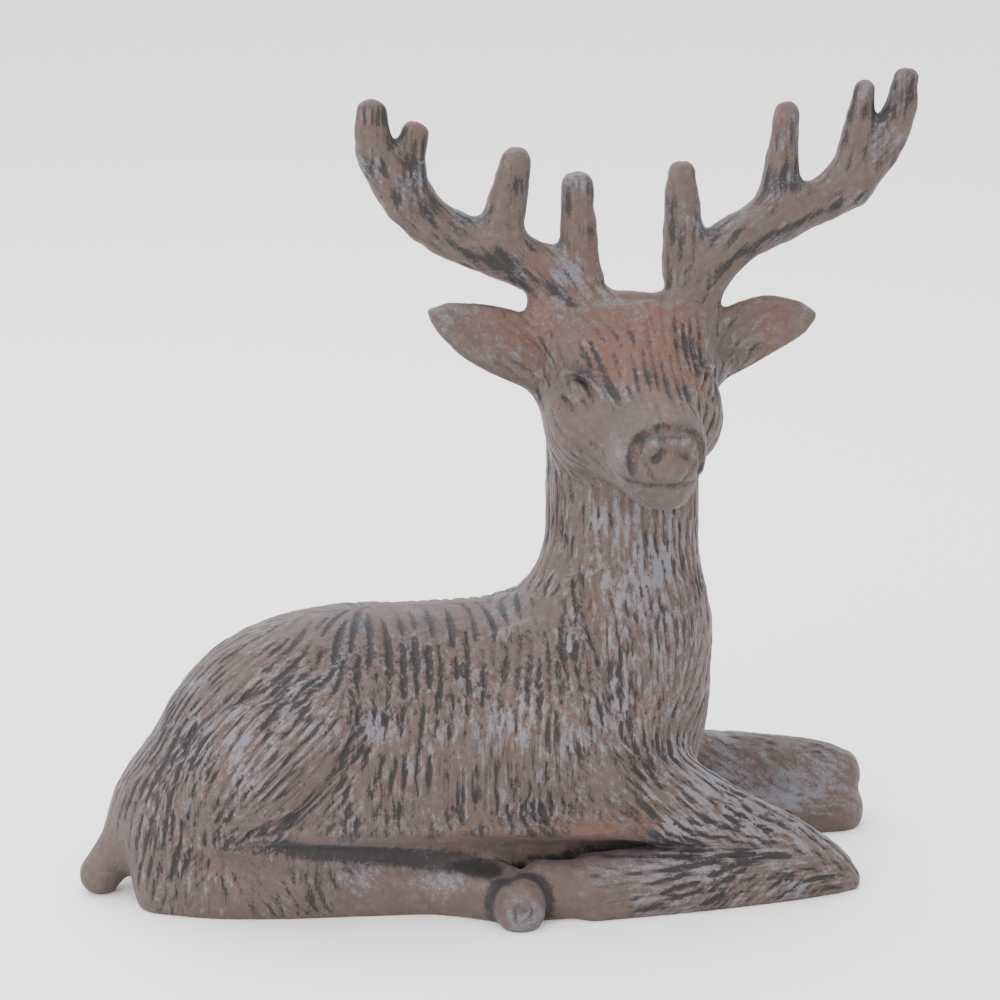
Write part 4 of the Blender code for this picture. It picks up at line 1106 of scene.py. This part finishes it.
# %% The stag as one piece
at_home = (at - SHIFT) * PART
stag_mesh.vertices.foreach_set("co", at_home.astype(np.float32).ravel())
for name, values in (("paint_shade_and_sheen", np.column_stack([paint_shade_and_sheen, np.ones(len(paint_shade_and_sheen))])), ("hair", hair)):
    layer = stag_mesh.attributes.new(name, "FLOAT_COLOR", "POINT")
    layer.data.foreach_set("color", values.astype(np.float32).ravel())
stag_mesh.shade_smooth()
stag_mesh.update()
stag_piece = bpy.data.objects.new("carved_stag", stag_mesh)
bpy.context.scene.collection.objects.link(stag_piece)
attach(stag_piece, "root")
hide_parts("stag")
print("the piece measures", [round(v, 4) for v in stag_piece.dimensions])

# %% [markdown]
# ## Iron under paint
#
# One material holds all three layers. The attribute says roughly where each lies, and fine
# noise breaks its edges into the speckle of a dry brush. Four more noises are drawn out into
# scratches, each one way, and the hair's shares choose among them, so that the finest marks
# run with the coat. Brown is dull, and black, the dark paint with painted shade, duller. The
# sheen is greyer and smoother: partly the iron showing through worn paint, partly a painted
# highlight in the cool tint of the overhead light. A sand-cast grain roughens all of it.

# %% The painted iron
BROWN, WARM_BROWN, DUSTY_BROWN = (0.069, 0.045, 0.038), (0.086, 0.039, 0.024), (0.100, 0.078, 0.070)
# Black is dark paint with painted shade; the blue-grey is worn iron with a painted highlight
BLACK, WORN_AND_SHEEN_GREY = (0.010, 0.009, 0.010), (0.136, 0.144, 0.172)
# For paint plus noise: where a layer begins, where it is full, and how much it then covers
BLACK_STEP, WEAR_AND_SHEEN_STEP = (0.88, 1.28, 0.9), (0.88, 1.4, 0.66)
BROWN_ROUGH, WORN_ROUGH = 0.62, 0.42


def painted_iron():
    """Brown, then black by smooth steps of (black + noise), then sheen by (sheen + noise)."""
    material = bpy.data.materials.new("brown_iron_with_shade_and_sheen")
    material.use_nodes = True
    nodes, links = material.node_tree.nodes, material.node_tree.links
    surface = nodes["Principled BSDF"]

    def node(kind, **values):
        made = nodes.new(kind)
        for name, value in values.items():
            setattr(made, name, value)
        return made

    def noise(scale, detail, rough=0.55, vector=None):
        made = node("ShaderNodeTexNoise")
        links.new(vector or place.outputs["Object"], made.inputs["Vector"])
        made.inputs["Scale"].default_value = scale
        made.inputs["Detail"].default_value = detail
        made.inputs["Roughness"].default_value = rough
        return made.outputs["Fac"]

    def sum_of(a, b, share):
        made = node("ShaderNodeMath", operation="MULTIPLY_ADD")
        links.new(b, made.inputs[0])
        made.inputs[1].default_value = share
        links.new(a, made.inputs[2])
        return made.outputs[0]

    def times(a, b):
        made = node("ShaderNodeMath", operation="MULTIPLY")
        links.new(a, made.inputs[0])
        links.new(b, made.inputs[1])
        return made.outputs[0]

    def step(value, low, high, top=1.0):
        made = node("ShaderNodeMapRange", interpolation_type="SMOOTHSTEP")
        links.new(value, made.inputs["Value"])
        made.inputs["From Min"].default_value = low
        made.inputs["From Max"].default_value = high
        made.inputs["To Max"].default_value = top
        return made.outputs["Result"]

    def mixed(share, a, b):
        made = node("ShaderNodeMix", data_type="RGBA")
        links.new(share, made.inputs[0])
        for end, colour in ((6, a), (7, b)):
            if isinstance(colour, tuple):
                made.inputs[end].default_value = (*colour, 1)
            else:
                links.new(colour, made.inputs[end])
        return made.outputs[2]

    def scratches(x, z):
        """Noise less a half, drawn out eightfold along (x, 0, z), a way one long."""
        drawn = node("ShaderNodeCombineXYZ")
        for socket, axis, size in ((0, (z, 0, -x), 1), (1, (0, 1, 0), 1), (2, (x, 0, z), 0.12)):
            made = node("ShaderNodeVectorMath", operation="DOT_PRODUCT")
            links.new(place.outputs["Object"], made.inputs[0])
            made.inputs[1].default_value = [size * v for v in axis]
            links.new(made.outputs["Value"], drawn.inputs[socket])
        level = node("ShaderNodeMath", operation="SUBTRACT")
        links.new(noise(760, 2, 0.6, drawn.outputs[0]), level.inputs[0])
        level.inputs[1].default_value = 0.5
        return level.outputs[0]

    place = node("ShaderNodeTexCoord")
    paint_at = node("ShaderNodeAttribute", attribute_name="paint_shade_and_sheen")
    split = node("ShaderNodeSeparateColor")
    links.new(paint_at.outputs["Color"], split.inputs["Color"])
    black, wear_and_sheen, warm = (split.outputs[i] for i in range(3))
    hair_at = node("ShaderNodeAttribute", attribute_name="hair")
    shares = node("ShaderNodeSeparateColor")
    links.new(hair_at.outputs["Color"], shares.inputs["Color"])
    slant = math.sqrt(0.5)
    fine = times(shares.outputs[0], scratches(0, 1))
    for share, x, z in ((shares.outputs[1], 1, 0), (shares.outputs[2], slant, slant),
                        (hair_at.outputs["Alpha"], -slant, slant)):
        fine = sum_of(fine, times(share, scratches(x, z)), 1)

    speckle = noise(1500, 3, 0.6)
    flake = noise(420, 4, 0.6)
    cloud = noise(90, 3)
    brown = mixed(step(sum_of(warm, cloud, 0.6), 0.35, 0.95), BROWN, WARM_BROWN)
    brown = mixed(step(flake, 0.35, 0.75, 0.5), brown, DUSTY_BROWN)
    # Black: dark paint with painted shade, broken by noise
    blotched = sum_of(sum_of(sum_of(black, speckle, 0.8), flake, 0.5), fine, 2.4)
    colour = mixed(step(blotched, *BLACK_STEP), brown, BLACK)
    # Sheen: worn iron with a painted highlight, broken by noise
    wear_and_sheen_noised = sum_of(sum_of(sum_of(wear_and_sheen, speckle, 1.0), flake, 0.5), fine, -2.2)
    wear_and_sheen_there = step(wear_and_sheen_noised, *WEAR_AND_SHEEN_STEP)
    colour = mixed(wear_and_sheen_there, colour, WORN_AND_SHEEN_GREY)
    links.new(colour, surface.inputs["Base Color"])

    rough = node("ShaderNodeMapRange")
    links.new(wear_and_sheen_there, rough.inputs["Value"])
    rough.inputs["To Min"].default_value = BROWN_ROUGH
    rough.inputs["To Max"].default_value = WORN_ROUGH
    links.new(rough.outputs["Result"], surface.inputs["Roughness"])
    surface.inputs["Metallic"].default_value = 0.15
    surface.inputs["Sheen Weight"].default_value = 0.06
    surface.inputs["Specular IOR Level"].default_value = 0.35
    surface.inputs["Sheen Roughness"].default_value = 0.5
    surface.inputs["Sheen Tint"].default_value = (0.8, 0.86, 1.0, 1)

    bump = node("ShaderNodeBump")
    links.new(sum_of(sum_of(flake, speckle, 0.6), fine, -1.6), bump.inputs["Height"])
    bump.inputs["Strength"].default_value = 0.45
    bump.inputs["Distance"].default_value = 0.0005
    links.new(bump.outputs["Normal"], surface.inputs["Normal"])
    return material


stag_mesh.materials.clear()
stag_mesh.materials.append(painted_iron())
print("materials on the piece:", [m.name for m in stag_mesh.materials])

# %% [markdown]
# ## Floor, light and camera
#
# The floor is plain and pale. The light is soft: a bright room all round, a large cool light
# overhead that greys whatever faces up, and a weaker one from the front left. The camera
# stands a metre away with a long lens, 15 degrees up and a little towards the rump.

# %% Studio
FLOOR_REACH, FLOOR_PALE, ROOM_BRIGHT = 6.0, 0.92, 2.1


def floor():
    """One large pale square at the stag's foot."""
    low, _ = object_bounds()
    r, z = FLOOR_REACH, low[2]
    mesh = bpy.data.meshes.new("floor")
    mesh.from_pydata([(-r, -r, z), (r, -r, z), (r, r, z), (-r, r, z)], [], [(0, 1, 2, 3)])
    material = bpy.data.materials.new("pale_floor")
    material.use_nodes = True
    surface = material.node_tree.nodes["Principled BSDF"]
    surface.inputs["Base Color"].default_value = (*[FLOOR_PALE] * 3, 1)
    surface.inputs["Roughness"].default_value = 0.9
    mesh.materials.append(material)
    piece = bpy.data.objects.new("floor", mesh)
    bpy.context.scene.collection.objects.link(piece)
    piece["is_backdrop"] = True


def aimed(thing, place, target):
    """Puts a light or camera at a place, looking at a target."""
    thing.location = place
    way = np.array(target) - np.array(place)
    tip = math.atan2(math.hypot(way[0], way[1]), -way[2])
    thing.rotation_euler = (tip, 0, math.atan2(-way[0], way[1]))


def soft_light(name, place, size, power, colour):
    """A square light of a given size, aimed at the stag."""
    data = bpy.data.lights.new(name, "AREA")
    data.size, data.energy, data.color = size, power, colour
    light = bpy.data.objects.new(name, data)
    bpy.context.scene.collection.objects.link(light)
    aimed(light, place, (0, 0, 0.1))


def photo_camera(distance=1.0, lift=15, swing=-7, target=(0.001, 0, 0.11975), lens=118.8):
    """A camera at a distance from its target: out along -Y, swung towards -X and lifted."""
    a, e = math.radians(swing), math.radians(lift)
    away = np.array([math.sin(a) * math.cos(e), -math.cos(a) * math.cos(e), math.sin(e)])
    data = bpy.data.cameras.new("camera")
    data.lens, data.sensor_width = lens, 36
    camera = bpy.data.objects.new("camera", data)
    bpy.context.scene.collection.objects.link(camera)
    aimed(camera, np.array(target) + distance * away, target)
    bpy.context.scene.camera = camera


floor()
room = bpy.data.worlds.new("soft_room")
room.use_nodes = True
room.node_tree.nodes["Background"].inputs["Color"].default_value = (1.0, 0.99, 0.985, 1)
room.node_tree.nodes["Background"].inputs["Strength"].default_value = ROOM_BRIGHT
bpy.context.scene.world = room
soft_light("overhead", (-0.25, 0.35, 1.1), 1.2, 12, (0.86, 0.92, 1.0))
soft_light("front_left", (-0.9, -1.1, 0.7), 1.0, 18, (1.0, 0.97, 0.94))
photo_camera()
print("camera at", [round(v, 3) for v in bpy.context.scene.camera.location])
